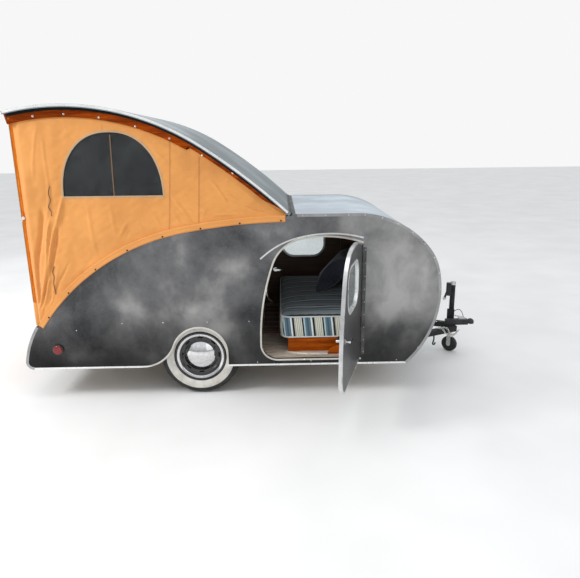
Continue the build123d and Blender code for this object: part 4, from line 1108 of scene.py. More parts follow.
def window_screen():
    """Rings that shrink from the window's line to its middle, a little behind the canvas."""
    rim = window_line(SCREEN_SIDES, SCREEN_GROW)
    middle = np.array(WINDOW_CENTRE) + (0, 0.20)
    shares = np.linspace(1, 0.03, SCREEN_RINGS)[:, None, None]
    rings = middle + (rim - middle)[None] * shares
    flat = rings.reshape(-1, 2)
    heights = on_canvas(flat, -SCREEN_BEHIND)[:, 1]
    heights -= np.abs(ripples(flat[:, 0], flat[:, 1], *SCREEN_RIPPLES))
    faces = grid_faces(SCREEN_RINGS, SCREEN_SIDES, wrap_columns=True)
    points = with_y(flat, heights)
    last = np.arange((SCREEN_RINGS - 1) * SCREEN_SIDES, SCREEN_RINGS * SCREEN_SIDES)
    hub = len(points)
    points = np.vstack([points, points[last].mean(0)])
    fan = np.stack([last, np.roll(last, -1), np.full(SCREEN_SIDES, hub)], -1)
    triangles = np.vstack([faces[:, [0, 1, 2]], faces[:, [0, 2, 3]], fan])
    return points, triangles


all_faces = grid_faces(CANVAS_ROWS, CANVAS_COLUMNS)
centres = canvas_flat[all_faces].mean(1)
in_window = (window_radius(centres[:, 0], centres[:, 2]) < 1) & (centres[:, 2] > WINDOW_CENTRE[1])
kept_faces = all_faces[~in_window]
canvas_solid = thickened(canvas_flat, kept_faces, (0, 1, 0), CLOTH)
screen_points, screen_faces = window_screen()
screen_solid = thickened(screen_points, screen_faces, (0, 1, 0), SCREEN_THICK)
ring = on_canvas(window_line(150))
binding = ribbon(ring, BINDING_TAPE, closed=True)
seams = [ribbon(on_canvas(np.linspace(*ends, 60), 0.0008), SEAM_TAPE) for ends in SEAMS]
strap = ribbon(on_canvas(np.linspace(*STRAP, 40), -0.0016), STRAP_TAPE)
ties = [spline_line(on_canvas(rows, TIE_OUT)) for rows in TIES]


def folding(piece_object):
    """Gives a cloth its own copy of its mesh."""
    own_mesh(piece_object)
    return piece_object


def build_side(name, piece, side, *finish_and_body):
    """A piece is worked out for the left side, at positive Y, and mirrored for the right one."""
    return build_piece(f"{name}_{side}", mirrored(piece) if side == "right" else piece, *finish_and_body)


for side in ("right", "left"):
    sign = -1 if side == "right" else 1
    cloth = build_side("canvas", canvas_solid, side, canvas_cloth, "trailer", 70)
    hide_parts(f"canvas_side_{side}")
    tape = build_side("canvas_binding", binding, side, tape_cloth, "trailer", 60)
    seam = build_side("canvas_seams", joined(seams), side, seam_cloth, "trailer", 60)
    screen_object = build_side("canvas_screen", screen_solid, side, mesh_cloth, "trailer", 70)
    strap_object = build_side("canvas_strap", strap, side, strap_cloth, "trailer")
    for one in (cloth, tape, seam, screen_object, strap_object):
        folding(one)
    for number, line in enumerate(ties, 1):
        path = line * (1, sign, 1)
        cord = build_piece(f"tie_{number}_{side}", cord_tube(path, TIE_RADIUS), cord_cloth, "trailer", 80)
        folding(cord)

# %% [markdown]
# The hem is the part of the canvas that turns over the wall's edge and lies on its outside. It
# is a strip of its own, because it stays with the wall when the hatch comes down. Between its
# snaps the lower edge stands off the metal a little. A thin tape of the darker seam cloth binds
# that edge, and its darker colour partly paints in the line of shade under the edge.

# %% Hem strips and their binding
HEM_START, HEM_END = 0.052, 2.280
HEM_DEPTH = 0.055
HEM_TAPE = (0.0045, 0.0017)
SNAP_SPACING, PUCKER_REACH = 0.30, 0.022
SNAP_INSET = 0.046
HEM_FACE, HEM_SLACK, HEM_PUCKER = 0.8036, 0.0042, 0.0004
# Columns: inset, and how far the hem has turned in over the wall's edge
HEM_OVER = ((0.0135, 0.0), (0.0113, 0.0009), (0.0100, 0.0035), (0.0096, 0.0080), (0.0095, 0.0130),
            (0.0095, 0.0185))


def hem_height(along, inset):
    """|Y| of the hem: flat on the wall above, and between snaps the lower edge bows out."""
    snaps = np.array(HEM_SNAPS)
    nearest = np.abs(np.asarray(along)[..., None] - snaps).min(-1)
    slack = np.sin(np.pi * np.clip(nearest / SNAP_SPACING, 0, 1)) * smooth((inset - 0.026) / 0.03)
    pucker = np.exp(-(nearest / PUCKER_REACH) ** 2) * smooth((inset - 0.022) / 0.02)
    return HEM_FACE + HEM_SLACK * slack - HEM_PUCKER * pucker


over_inset, over_turned = np.array(HEM_OVER).T
hem_inset = np.concatenate([np.linspace(HEM_DEPTH, over_inset[0], 12)[:-1], over_inset])
hem_turned = np.concatenate([np.zeros(11), over_turned])


def hem_strip():
    """A grid along the hatch's outline, from the hem's edge up the wall and over its top. The
    sheet's thickness is laid along (dh * inward - di * sideways), where di and dh are the steps
    of inset and |Y| across it."""
    along = np.linspace(HEM_START, HEM_END, 320)
    top, low = outline(along, 0.0), outline(along, 0.1)
    flat = top[:, None] + (low - top)[:, None] * (hem_inset / 0.1)[None, :, None]
    heights = hem_height(np.broadcast_to(along[:, None], flat.shape[:2]), hem_inset[None]) - hem_turned[None]
    steps = -np.gradient(hem_turned)[None, :, None] * unit(low - top)[:, None]
    outer = unit(with_y(steps, np.broadcast_to(-np.gradient(hem_inset), flat.shape[:2])))
    points = with_y(flat, heights).reshape(-1, 3)
    return thickened(points, grid_faces(*flat.shape[:2]), outer.reshape(-1, 3), CLOTH)


hem_along = np.linspace(HEM_START, HEM_END, 260)
hem_edge = with_y(outline(hem_along, HEM_DEPTH - 0.003), hem_height(hem_along, np.full(260, HEM_DEPTH)))
hem_tape = ribbon(hem_edge, HEM_TAPE)
for side in ("right", "left"):
    hem = build_side("canvas_hem", hem_strip(), side, canvas_cloth, "trailer", 70)
    # The tape's darker cloth partly paints in the line of shade under the hem's edge
    tape = build_side("canvas_hem_tape", hem_tape, side, seam_cloth, "trailer", 60)

# %% [markdown]
# Snaps hold the canvas: blackened ones along the hem, and bright ones along the ribs. Each is
# a low dome on a flat ring. They are many and small, so all that ride on one body are one
# mesh.

# %% Snaps on the hem and on the ribs
RIB_FACE = 0.768
SNAP_RADIUS = 0.0075
SNAP_PROFILE = ((1.0, -0.4), (1.0, 0.18), (0.72, 0.30), (0.62, 0.75), (0.36, 0.98), (0.10, 1.0))

dark_brass = worn_metal("dark_brass", (0.03, 0.025, 0.02), (0.09, 0.07, 0.05), 0.35, 60)
snap_metal = worn_metal("snap_metal", (0.62, 0.61, 0.58), (0.86, 0.85, 0.82), 0.25, 60)


def on_both_sides(places, normals, radius, height, sides, profile=DOME):
    """Studs at places with positive Y, and the same on the other side."""
    return both_sides(studs(places, normals, radius, height, sides, profile))


def hem_snap_places():
    """Snap places on the hem, a little above its edge."""
    along = np.array(HEM_SNAPS)
    return with_y(outline(along, SNAP_INSET), hem_height(along, np.full(len(along), SNAP_INSET)) + 0.0006)


rib_snap_places = with_y(np.array(RIB_SNAPS), RIB_FACE)
for name, places, height, material, body in (
    ("hem_snaps", hem_snap_places(), 0.005, dark_brass, "trailer"),
    ("rib_snaps", rib_snap_places, 0.006, snap_metal, "hatch"),
):
    snaps = on_both_sides(places, (0, 1, 0), SNAP_RADIUS, height, 10, SNAP_PROFILE)
    build_piece(name, snaps, material, body)

# %% [markdown]
# The rear of the tent is two panels of the same canvas, stretched on the outside of the two
# leaves of the folding frame, and a skirt from the lower leaf down to the tail. The cloth
# sags a little between the stiles and pulls in at the snaps along its edges. The skirt stays
# with the trailer and has its own mesh; on the trailer it is tucked down inside the tail when
# the frame comes down.

# %% Rear canvas panels and skirt
REAR_X = -3.7585
PANEL_HALF = 0.7335
UPPER_PANEL = (1.132, 1.830)
LOWER_PANEL = (0.472, 1.104)
PANEL_SAG = 0.009
PANEL_GRID, SKIRT_GRID = (150, 76), (171, 26)
PANEL_TAPE, TAPE_INSET = (0.008, 0.0018), 0.0065
SNAP_STEP, SNAP_FROM_EDGE, SNAP_OUT = 0.15, 0.018, 0.0016
EDGE_PULL, EDGE_PULL_REACH = 0.002, 0.09
SKIRT = (0.277, 0.468)
SKIRT_WRAP, SKIRT_OUT = 0.034, 0.0052
GATHER_HEIGHT, GATHER_LENGTH = 0.006, 0.21
# Columns: step of the seed, how far height counts, waves, shortest and longest wave, height
PANEL_RIPPLES = ((0, 1.0, 22, 0.06, 0.22, 0.0016), (2, 0.3, 12, 0.07, 0.20, 0.0022),
                 (1, 1.0, 6, 0.4, 0.8, 0.004))


def rear_panel(low, high, seed):
    """A grid across and up. It bows forward between the stiles, with ripples and with short
    pulls towards the snaps at its edges."""
    across, up = upright_grid(PANEL_HALF, (low, high), PANEL_GRID)
    from_side = PANEL_HALF - np.abs(across)
    inside = smooth(from_side / EASE_OUT) * smooth((up - low) / EASE_OUT) * smooth((high - up) / EASE_OUT)
    middle = np.cos(across / PANEL_HALF * np.pi / 2) * np.sin(np.pi * (up - low) / (high - low))
    pulls = EDGE_PULL * np.sin(up * 2 * np.pi / SNAP_STEP)
    pulls *= np.exp(-(from_side / EDGE_PULL_REACH) ** 2)
    waves = sum(ripples(across, up * share, seed + step, *row) for step, share, *row in PANEL_RIPPLES)
    x = REAR_X + inside * (PANEL_SAG * middle + waves + pulls)
    points = np.stack([x, across, up], -1).reshape(-1, 3)
    return thickened(points, grid_faces(*PANEL_GRID), (1, 0, 0), CLOTH)


def panel_edges(low, high):
    """Binding tape round a panel."""
    side = PANEL_HALF - TAPE_INSET
    corners = [(-side, low), (side, low), (side, high), (-side, high)]
    pieces = []
    for (y0, z0), (y1, z1) in zip(corners, corners[1:] + corners[:1]):
        line = np.linspace((REAR_X, y0, z0), (REAR_X, y1, z1), 30)
        pieces.append(ribbon(line, PANEL_TAPE, up=(1, 0, 0)))
    return joined(pieces)


def edge_snaps(low, high):
    """Snaps up both edges of a panel."""
    z = np.arange(low + 0.05, high - 0.03, SNAP_STEP)
    places = [(REAR_X - SNAP_OUT, side * (PANEL_HALF - SNAP_FROM_EDGE), height)
              for side in (-1, 1) for height in z]
    return studs(places, (-1, 0, 0), SNAP_RADIUS, 0.004, 10, SNAP_PROFILE)


def skirt_cloth():
    """The skirt wraps forward round both stiles and gathers slightly above the tail."""
    run, up = upright_grid(PANEL_HALF + SKIRT_WRAP, SKIRT, SKIRT_GRID)
    wrap = np.clip(np.abs(run) - (PANEL_HALF - 0.004), 0, None)
    y = np.sign(run) * np.minimum(np.abs(run), PANEL_HALF + SKIRT_OUT)
    fold = GATHER_HEIGHT * np.sin(run * 2 * np.pi / GATHER_LENGTH + 0.6) * smooth((SKIRT[1] - up) / 0.12)
    fold *= smooth((PANEL_HALF - np.abs(run)) / 0.06)
    x = REAR_X - 0.004 - fold + np.minimum(wrap, SKIRT_WRAP) * 1.15
    points = np.stack([x, y, up], -1).reshape(-1, 3)
    turned = smooth(wrap / 0.010)
    outer = unit(np.stack([turned - 1, np.sign(run) * turned, 0 * turned], -1)).reshape(-1, 3)
    return thickened(points, grid_faces(*SKIRT_GRID), outer, CLOTH)


for name, body, (low, high), node, seed in (
    ("rear_cloth_upper", "rear_frame_top", UPPER_PANEL, "rear_canvas_upper", 31),
    ("rear_cloth_lower", "rear_frame_bottom", LOWER_PANEL, "rear_canvas_lower", 41),
):
    panel = build_piece(name, rear_panel(low, high, seed), canvas_cloth, body, 70)
    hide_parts(node)
    edge = build_piece(f"{name}_tape", panel_edges(low, high), tape_cloth, body, 60)
    build_piece(f"{name}_snaps", edge_snaps(low, high), dark_brass, body)
skirt = build_piece("skirt_cloth", skirt_cloth(), canvas_cloth, "trailer", 70)
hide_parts("rear_skirt")
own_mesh(skirt)

# %% [markdown]
# A narrow valance hangs from the hatch's end over the top of the upper panel and closes the gap
# above the frame. It rides on the hatch and has its own mesh; on the trailer it folds up against
# the hatch when the hatch comes down.

# %% Valance
VALANCE = (1.826, 1.893)
VALANCE_X, VALANCE_HALF = -3.7655, 0.728
VALANCE_GRID = (180, 12)
# Columns: height, length and phase of each row of folds
VALANCE_FOLDS = ((0.0016, 0.12, 0.0), (0.0010, 0.31, 1.0))


def valance_cloth():
    """A grid across and up with shallow upright folds that fade out towards its top."""
    across, up = upright_grid(VALANCE_HALF, VALANCE, VALANCE_GRID)
    free = (VALANCE[1] - up) / (VALANCE[1] - VALANCE[0])
    folds = sum(high * np.sin(across * 2 * np.pi / long + phase) for high, long, phase in VALANCE_FOLDS)
    x = VALANCE_X + free * folds
    points = np.stack([x, across, up], -1).reshape(-1, 3)
    return thickened(points, grid_faces(*VALANCE_GRID), (1, 0, 0), CLOTH)


valance = build_piece("rear_valance", valance_cloth(), canvas_cloth, "hatch", 70)
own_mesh(valance)

# %% [markdown]
# The bed has a thick mattress in a striped ticking: on the top the stripes run along the
# trailer, and on the boxing they stand upright. The boxing's stripes are painted paler, as
# painted light, and the top's darker and bluer, as painted shade: two copies of one ticking.
# White piping runs round both edges. It is built in rings: from the middle of the crowned top
# out to the edge, down the boxing, which bulges a little, and back to the middle below. Its
# cover puckers beside the piping.

# %% Stripes
STRIPE_PERIOD = 0.166
# The boxing's stripes, painted paler: painted light
LIT_BOXING_STRIPES = (
    (0.000, (0.012, 0.014, 0.020)), (0.078, (0.80, 0.80, 0.68)), (0.452, (0.012, 0.014, 0.020)),
    (0.530, (0.50, 0.68, 0.74)), (0.600, (0.12, 0.21, 0.27)), (0.690, (0.06, 0.12, 0.16)),
    (0.780, (0.12, 0.21, 0.27)), (0.885, (0.85, 0.90, 0.90)), (0.965, (0.012, 0.014, 0.020)),
)
# The same stripes painted darker and bluer for the top: painted shade
SHADED_TOP_STRIPES = (
    (0.000, (0.020, 0.024, 0.032)), (0.078, (0.24, 0.28, 0.29)), (0.452, (0.020, 0.024, 0.032)),
    (0.530, (0.30, 0.40, 0.45)), (0.600, (0.11, 0.17, 0.21)), (0.690, (0.07, 0.11, 0.15)),
    (0.780, (0.11, 0.17, 0.21)), (0.885, (0.80, 0.85, 0.87)), (0.965, (0.020, 0.024, 0.032)),
)
BOXING_FROM = 4.7
ticking, tree, shader = start_material("striped_ticking", (0.3, 0.35, 0.38), 0.88, 0.0, Sheen_Weight=0.2)
coords = tree.nodes.new("ShaderNodeTexCoord")
split = tree.nodes.new("ShaderNodeSeparateXYZ")
tree.links.new(coords.outputs["UV"], split.inputs[0])
across, lengthwise = split.outputs["X"], split.outputs["Y"]
wobble = noise(tree, place(tree), 9, 2)
shifted = math_node(tree, "MULTIPLY_ADD", wobble, 0.004, across)
phase = math_node(tree, "FRACT", math_node(tree, "DIVIDE", shifted, STRIPE_PERIOD))
lit_boxing_stripe = ramp(tree, phase, LIT_BOXING_STRIPES)
shaded_top_stripe = ramp(tree, phase, SHADED_TOP_STRIPES)
for bands in (lit_boxing_stripe, shaded_top_stripe):
    bands.node.color_ramp.interpolation = "CONSTANT"
on_boxing = math_node(tree, "GREATER_THAN", lengthwise, BOXING_FROM)
stripe = mix(tree, on_boxing, shaded_top_stripe, lit_boxing_stripe)
zigzag = math_node(tree, "PINGPONG", lengthwise, 0.004)
chevron = math_node(tree, "SINE", math_node(tree, "MULTIPLY", math_node(tree, "ADD", across, zigzag), 420.0))
is_cream = math_node(tree, "COMPARE", phase, 0.265, 0.187)
dark_line = math_node(tree, "SMOOTH_MAX", math_node(tree, "MULTIPLY_ADD", chevron, 1.1, -0.2), 0.0, 0.2)
thread = math_node(tree, "MULTIPLY", is_cream, dark_line)
color = mix(tree, thread, stripe, (0.16, 0.18, 0.18))
paint(tree, shader, mix(tree, 0.35, color, ramp(tree, noise(tree, place(tree), 5, 4), [
    (0.3, (0.62, 0.62, 0.62)), (0.7, (1, 1, 1))]), "MULTIPLY"))
bump(tree, shader, chevron, 0.10, 0.0006)
piping_cloth = woven("white_piping", (0.74, 0.78, 0.78), (0.60, 0.65, 0.66), 900)
navy_cloth = woven("navy_cover", (0.052, 0.062, 0.088), (0.026, 0.034, 0.056), 700, sheen=0.5)
print("ticking ready")


# %% Mattress
MATTRESS_X = (-1.800, -0.745)
MATTRESS_HALF = 0.692
MATTRESS_Z = (0.1185, 0.318)
MATTRESS_CORNER = 0.075
CROWN, EDGE_FALL, BULGE = 0.030, 0.018, 0.012
# Height and length of the puckers beside the piping
TOP_PUCKER, SIDE_PUCKER = (0.0022, 0.075), (0.0018, 0.09)
MATTRESS_POINTS, PIPING_RADIUS = 300, 0.0055
# Rows of the piping: Z and how far it stands out
PIPING = ((MATTRESS_Z[1] - 0.019, 0.0035), (MATTRESS_Z[0] + 0.009, 0.0025))
PILLOW_FOOT = (-1.345, 0.185)
PILLOW_ALONG = (0.2756, 0.9613)
PILLOW_DENT = 0.020


def pillow_dent(x, y):
    """How far the pillow's lower edge sinks in: a soft groove along that edge, ended with a
    bell curve over the pillow's half width."""
    dx, dy = x - PILLOW_FOOT[0], y - PILLOW_FOOT[1]
    along = dx * PILLOW_ALONG[0] + dy * PILLOW_ALONG[1]
    away = dx * PILLOW_ALONG[1] - dy * PILLOW_ALONG[0]
    return PILLOW_DENT * np.exp(-(away / 0.07) ** 2 - (along / 0.30) ** 4)


def rounded_outline(x_low, x_high, half, corner, count):
    """Points round a rectangle with rounded corners, in equal steps, and the way round it."""
    quarter = np.linspace(0, np.pi / 2, 24)
    parts = []
    for k, (cx, cy) in enumerate(((x_high - corner, half - corner), (x_low + corner, half - corner),
                                  (x_low + corner, corner - half), (x_high - corner, corner - half))):
        angle = quarter + k * np.pi / 2
        parts.append(np.stack([cx + corner * np.cos(angle), cy + corner * np.sin(angle)], -1))
    line = np.vstack(parts + [parts[0][:1]])
    return evenly(line, count), distances(line)[-1]


def mattress():
    """Rings from the middle of the crowned top over the edge and down to the middle below."""
    count = MATTRESS_POINTS
    edge, around = rounded_outline(*MATTRESS_X, MATTRESS_HALF, MATTRESS_CORNER, count)
    at = np.linspace(0, around, count, endpoint=False)
    middle = np.array(((MATTRESS_X[0] + MATTRESS_X[1]) / 2, 0.0))
    shares = np.clip(np.linspace(0, 1, 34), 0.02, 1)
    low, high = MATTRESS_Z
    rings = []
    soft = ripples(edge[:, 0], edge[:, 1], 61, 12, 0.10, 0.30, 1.0)
    for share in shares:
        flat = middle + (edge - middle) * share
        fall = np.clip((1 - share) / 0.16, 0, 1)
        dome = CROWN * (1 - share ** 4) + EDGE_FALL * (np.sqrt(1 - (1 - fall) ** 2) - 1)
        near = np.exp(-((1 - share) / 0.06) ** 2) * (share < 0.995)
        dimple = ripples(flat[:, 0], flat[:, 1], 62, 14, 0.12, 0.40, 0.0022) * min((1 - share) * 12, 1)
        puckers = TOP_PUCKER[0] * near * np.sin(at * 2 * np.pi / TOP_PUCKER[1] + soft)
        top = high + dome + dimple + puckers - pillow_dent(flat[:, 0], flat[:, 1])
        rings.append(np.column_stack([flat, top]))
    for level in np.linspace(0, 1, 15)[1:-1]:
        bulge = BULGE * np.sin(np.pi * level) ** 0.7
        wave = np.sin(at * 2 * np.pi / SIDE_PUCKER[1] + soft * 0.8)
        puckers = SIDE_PUCKER[0] * wave * np.abs(2 * level - 1) ** 3
        flat, _ = rounded_outline(MATTRESS_X[0] - bulge, MATTRESS_X[1] + bulge, MATTRESS_HALF + bulge,
                                  MATTRESS_CORNER + bulge, count)
        out = unit(flat - middle)
        flat = flat + out * puckers[:, None]
        top_z = high - EDGE_FALL
        rings.append(np.column_stack([flat, np.full(count, top_z + (low + 0.008 - top_z) * level)]))
    for share in (1.0, 0.97, 0.8, 0.4, 0.02):
        flat = middle + (edge - middle) * share
        rings.append(np.column_stack([flat, np.full(count, low + (0.006 if share > 0.99 else 0.0))]))
    points = np.vstack(rings)
    faces = grid_faces(len(rings), count, wrap_columns=True)
    return outward((points, [faces] + end_caps(len(rings), count)))


def stripe_coordinates(piece):
    """Across and along the stripes for each face corner: Y and X on faces that look up or down,
    X and Z on faces that look sideways, Y and Z on the ends."""
    points, blocks = piece
    rows = []
    for block in blocks:
        corners = points[block]
        normal = np.cross(corners[:, 1] - corners[:, 0], corners[:, -1] - corners[:, 0])
        normal = np.abs(unit(normal))
        flat = normal[:, 2] > 0.6
        sideways = ~flat & (normal[:, 1] > normal[:, 0])
        leaned = corners[..., 0] + 0.10 * corners[..., 2]
        across_it = np.where(sideways[:, None], leaned, corners[..., 1])
        along_it = np.where(flat[:, None], corners[..., 0], corners[..., 2])
        rows.append(np.stack([across_it + 5.0, along_it + 5.0], -1).reshape(-1, 2))
    return np.vstack(rows)


mattress_solid = mattress()
mattress_piece = build_piece("mattress_cover", mattress_solid, ticking, "trailer", 70,
                             stripe_coordinates(mattress_solid))
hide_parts("mattress")
piping = []
for z, out in PIPING:
    line, _ = rounded_outline(MATTRESS_X[0] - out, MATTRESS_X[1] + out, MATTRESS_HALF + out,
                              MATTRESS_CORNER + out, 220)
    ring_points = np.column_stack([line, np.full(len(line), z)])
    piping.append(bar(ring_points, PIPING_RADIUS, PIPING_RADIUS, 8, closed=True, up=(0, 0, 1)))
build_piece("mattress_piping", joined(piping), piping_cloth, "trailer", 80)

# %% [markdown]
# The pillow is two layers of navy cloth sewn together along four sides and filled. It starts
# as two flat cloths that are a little apart, and a cloth simulation blows them up: the seam
# draws in between the corners, and the corners stay pointed, as on a real pillow. It stands on
# its lower edge and leans forward, turned a little to the door.

# %% Pillow
PILLOW_SIZE = (0.66, 0.45)
PILLOW_CENTRE = (-1.257, 0.162, 0.506)
PILLOW_LEAN = math.radians(42)
PILLOW_YAW = math.radians(-16)
PILLOW_CELLS = (74, 58)
PILLOW_DOME, PILLOW_DRAWN = 0.045, 0.05
FILL_FRAMES, FILL_PRESSURE, FILL_STIFFNESS, FILL_MOST = 18, 3.2, 18, 0.05


def pillow_start(width, height, cells):
    """Two layers of a grid, domed apart and joined along their common edge."""
    u = np.linspace(-1, 1, cells[0])
    v = np.linspace(-1, 1, cells[1])
    x, y = np.meshgrid(u, v, indexing="ij")
    dome = PILLOW_DOME * (1 - x ** 4) * (1 - y ** 4)
    pull = 1 - PILLOW_DRAWN * (1 - np.abs(np.where(np.abs(x) > np.abs(y), y, x)) ** 2)
    front = np.stack([x * width / 2 * pull, y * height / 2 * pull, dome], -1).reshape(-1, 3)
    back = front * (1, 1, -1)
    count = cells[0] * cells[1]
    index = np.arange(count).reshape(cells)
    inner = np.zeros(cells, bool)
    inner[1:-1, 1:-1] = True
    renumber = np.arange(count)
    renumber[inner.ravel()] = count + np.arange(inner.sum())
    faces = grid_faces(*cells)
    points = np.vstack([front, back[inner.ravel()]])
    return outward((points, [faces, renumber[faces][:, ::-1]]))


def simulate(piece_object):
    """Runs a short cloth simulation with pressure inside and writes its last shape back. No
    point may move further than FILL_MOST."""
    scene = bpy.context.scene
    start = np.empty(len(piece_object.data.vertices) * 3, np.float32)
    piece_object.data.vertices.foreach_get("co", start)
    modifier = piece_object.modifiers.new("filling", "CLOTH")
    settings = modifier.settings
    settings.quality = 6
    settings.mass = 0.3
    settings.tension_stiffness = FILL_STIFFNESS
    settings.compression_stiffness = FILL_STIFFNESS
    settings.shear_stiffness = FILL_STIFFNESS * 0.5
    settings.bending_stiffness = 0.6
    settings.use_pressure = True
    settings.uniform_pressure_force = FILL_PRESSURE
    settings.effector_weights.gravity = 0
    modifier.point_cache.frame_start = 1
    modifier.point_cache.frame_end = FILL_FRAMES
    for number in range(1, FILL_FRAMES + 1):
        scene.frame_set(number)
    shaped = piece_object.evaluated_get(bpy.context.evaluated_depsgraph_get())
    end = np.empty_like(start)
    shaped.data.vertices.foreach_get("co", end)
    piece_object.modifiers.remove(modifier)
    scene.frame_set(1)
    moved = (end - start).reshape(-1, 3)
    length = np.linalg.norm(moved, axis=1, keepdims=True)
    moved *= np.minimum(1, FILL_MOST / np.maximum(length, 1e-9))
    piece_object.data.vertices.foreach_set("co", (start + moved.ravel()).astype(np.float32))
    piece_object.data.update()
    print(piece_object.name, "moved at most", round(float(length.max()), 4))


def pillow_axes(lean, yaw):
    """Rows for the pillow's width, height and thickness: the width lies level, the height
    leans forward from upright, and the thickness is square to both."""
    width = np.array((-math.sin(yaw), math.cos(yaw), 0.0))
    height = np.array((math.sin(lean) * math.cos(yaw), math.sin(lean) * math.sin(yaw), math.cos(lean)))
    return np.stack([width, height, np.cross(width, height)])


pillow_shape = pillow_start(*PILLOW_SIZE, PILLOW_CELLS)
pillow_piece = build_piece("pillow_cover", pillow_shape, navy_cloth, "trailer", 80)
simulate(pillow_piece)
co = np.empty(len(pillow_piece.data.vertices) * 3, np.float32)
pillow_piece.data.vertices.foreach_get("co", co)
co = co.reshape(-1, 3) @ pillow_axes(PILLOW_LEAN, PILLOW_YAW) + np.array(PILLOW_CENTRE)
pillow_piece.data.vertices.foreach_set("co", co.astype(np.float32).ravel())
pillow_piece.data.update()
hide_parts("pillow")
print("pillow from", co.min(0).round(3), "to", co.max(0).round(3))

# %% [markdown]
# The wheels carry old cross-ply tyres with a whitewall. The tyre is one section turned round
# the axle: two beads, round sides, and a tread of five ribs. The shoulder ribs are cut across
# by lowering their radius over every fourth step of the turn. The white band is paint in the
# material, held to a range of radius on the outer side, so it turns with the wheel.

# %% Tyres
WHEEL_X, WHEEL_Z, WHEEL_Y = -2.463, -0.008, 0.68
BEAD_RADIUS, SHOULDER_RADIUS, TREAD_RADIUS = 0.190, 0.305, 0.3265
BEAD_AT, BELLY = 0.061, 0.0135
WHITE_BAND = (0.213, 0.276)
TREAD_GROOVES = (-0.037, -0.0125, 0.0125, 0.037)
CUT_DEPTH, GROOVE_DEPTH = 0.005, 0.0065
TYRE_SIDES = 168
RIM_COVER, RIDGE, GROOVE_HALF, CUT_FROM = 0.012, 0.0008, 0.0034, 0.040
TYRE_LINER = ((-0.047, BEAD_RADIUS), (-0.060, 0.245), (-0.040, 0.303), (0.040, 0.303),
              (0.060, 0.245), (0.047, BEAD_RADIUS))


def whitewall_tyre():
    """Dusty black rubber with a pale band between two radii on the outer face."""
    material, tree, shader = start_material("whitewall_tyre", (0.016, 0.016, 0.017), 0.72)
    here = place(tree)
    radius = far_from(tree, here, WHEEL_X, WHEEL_Z)
    middle = (WHITE_BAND[0] + WHITE_BAND[1]) / 2
    band = math_node(tree, "COMPARE", radius, middle, WHITE_BAND[1] - middle)
    outer = math_node(tree, "GREATER_THAN", math_node(tree, "ABSOLUTE", axis_value(tree, here, "Y")), WHEEL_Y)
    dust = noise(tree, here, 14, 4, 0.6)
    black = ramp(tree, dust, [(0.4, (0.014, 0.014, 0.015)), (0.8, (0.05, 0.047, 0.043))])
    white = ramp(tree, dust, [(0.3, (0.50, 0.48, 0.43)), (0.6, (0.70, 0.68, 0.63))])
    paint(tree, shader, mix(tree, math_node(tree, "MULTIPLY", band, outer), black, white))
    bump(tree, shader, noise(tree, here, 240, 2), 0.10, 0.0008)
    return material


def tyre_section():
    """Rows of (offset, radius) once round the tyre, and which rows the cross cuts reach."""
    side = np.linspace(0, 1, 16)
    wall_radius = BEAD_RADIUS + RIM_COVER + (SHOULDER_RADIUS - BEAD_RADIUS - RIM_COVER) * side
    wall = BEAD_AT + BELLY * np.sin(np.pi * side)
    ridges = sum(np.exp(-((wall_radius - edge) / 0.003) ** 2) for edge in WHITE_BAND)
    wall = wall + RIDGE * ridges
    across = np.linspace(BEAD_AT, -BEAD_AT, 55)[1:-1]
    crown = SHOULDER_RADIUS + (TREAD_RADIUS - SHOULDER_RADIUS) * (1 - (np.abs(across) / BEAD_AT) ** 2.6)
    groove = np.abs(across[:, None] - np.array(TREAD_GROOVES)).min(1) < GROOVE_HALF
    crown = crown - GROOVE_DEPTH * groove
    outside = np.vstack([
        [(BEAD_AT, BEAD_RADIUS)], np.column_stack([wall, wall_radius]), np.column_stack([across, crown]),
        np.column_stack([-wall, wall_radius])[::-1], [(-BEAD_AT, BEAD_RADIUS)]])
    cuts = (np.abs(outside[:, 0]) > CUT_FROM) & (outside[:, 1] > SHOULDER_RADIUS - RIM_COVER)
    return np.vstack([outside, TYRE_LINER]), np.concatenate([cuts, np.zeros(len(TYRE_LINER), bool)])


tyre_rubber = whitewall_tyre()
section, cut_rows = tyre_section()
cut_steps = (np.arange(TYRE_SIDES) % 4 == 0)[:, None]
relief = -CUT_DEPTH * (cut_steps & cut_rows[None])
RING = ((0.0666, 0.1905), (0.0656, 0.188), (0.0632, 0.177), (0.0600, 0.172), (0.0590, 0.1735),
        (0.0620, 0.178), (0.0646, 0.1885), (0.0656, 0.1908))
VALVE_RADIUS, VALVE_AT = 0.003, 0.036
# Columns: out from VALVE_AT, along the trailer, up from the hub
VALVE = ((0.002, 0.004, 0.154), (0.008, 0.002, 0.158), (0.020, 0.0, 0.160), (0.034, 0.0, 0.160))
for side in ("right", "left"):
    hub = (WHEEL_X, WHEEL_Y, WHEEL_Z)
    body = f"wheel_{side}"
    tyre_solid = lathe(section, hub, TYRE_SIDES, relief=relief)
    tyre = build_side("whitewall_tyre", tyre_solid, side, tyre_rubber, body, 32)
    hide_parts(f"tyre_{side}")
    build_side("wheel_ring", lathe(RING, hub, 96), side, chrome_metal, body, 50)
    stem = [(WHEEL_X + along, WHEEL_Y + VALVE_AT + out, WHEEL_Z + up) for out, along, up in VALVE]
    valve = bar(stem, VALVE_RADIUS, VALVE_RADIUS, 8, up=(1, 0, 0))
    build_side("valve", valve, side, black_plastic, body)

# %% [markdown]
# Bright metal edges run round both doors and along both sides of the hatch. A door's is a
# channel folded over its edge, from the hinge over the top, down the rear and back along the
# sill. Its line is the door's own outline, a chain of arcs each tangent to the last.

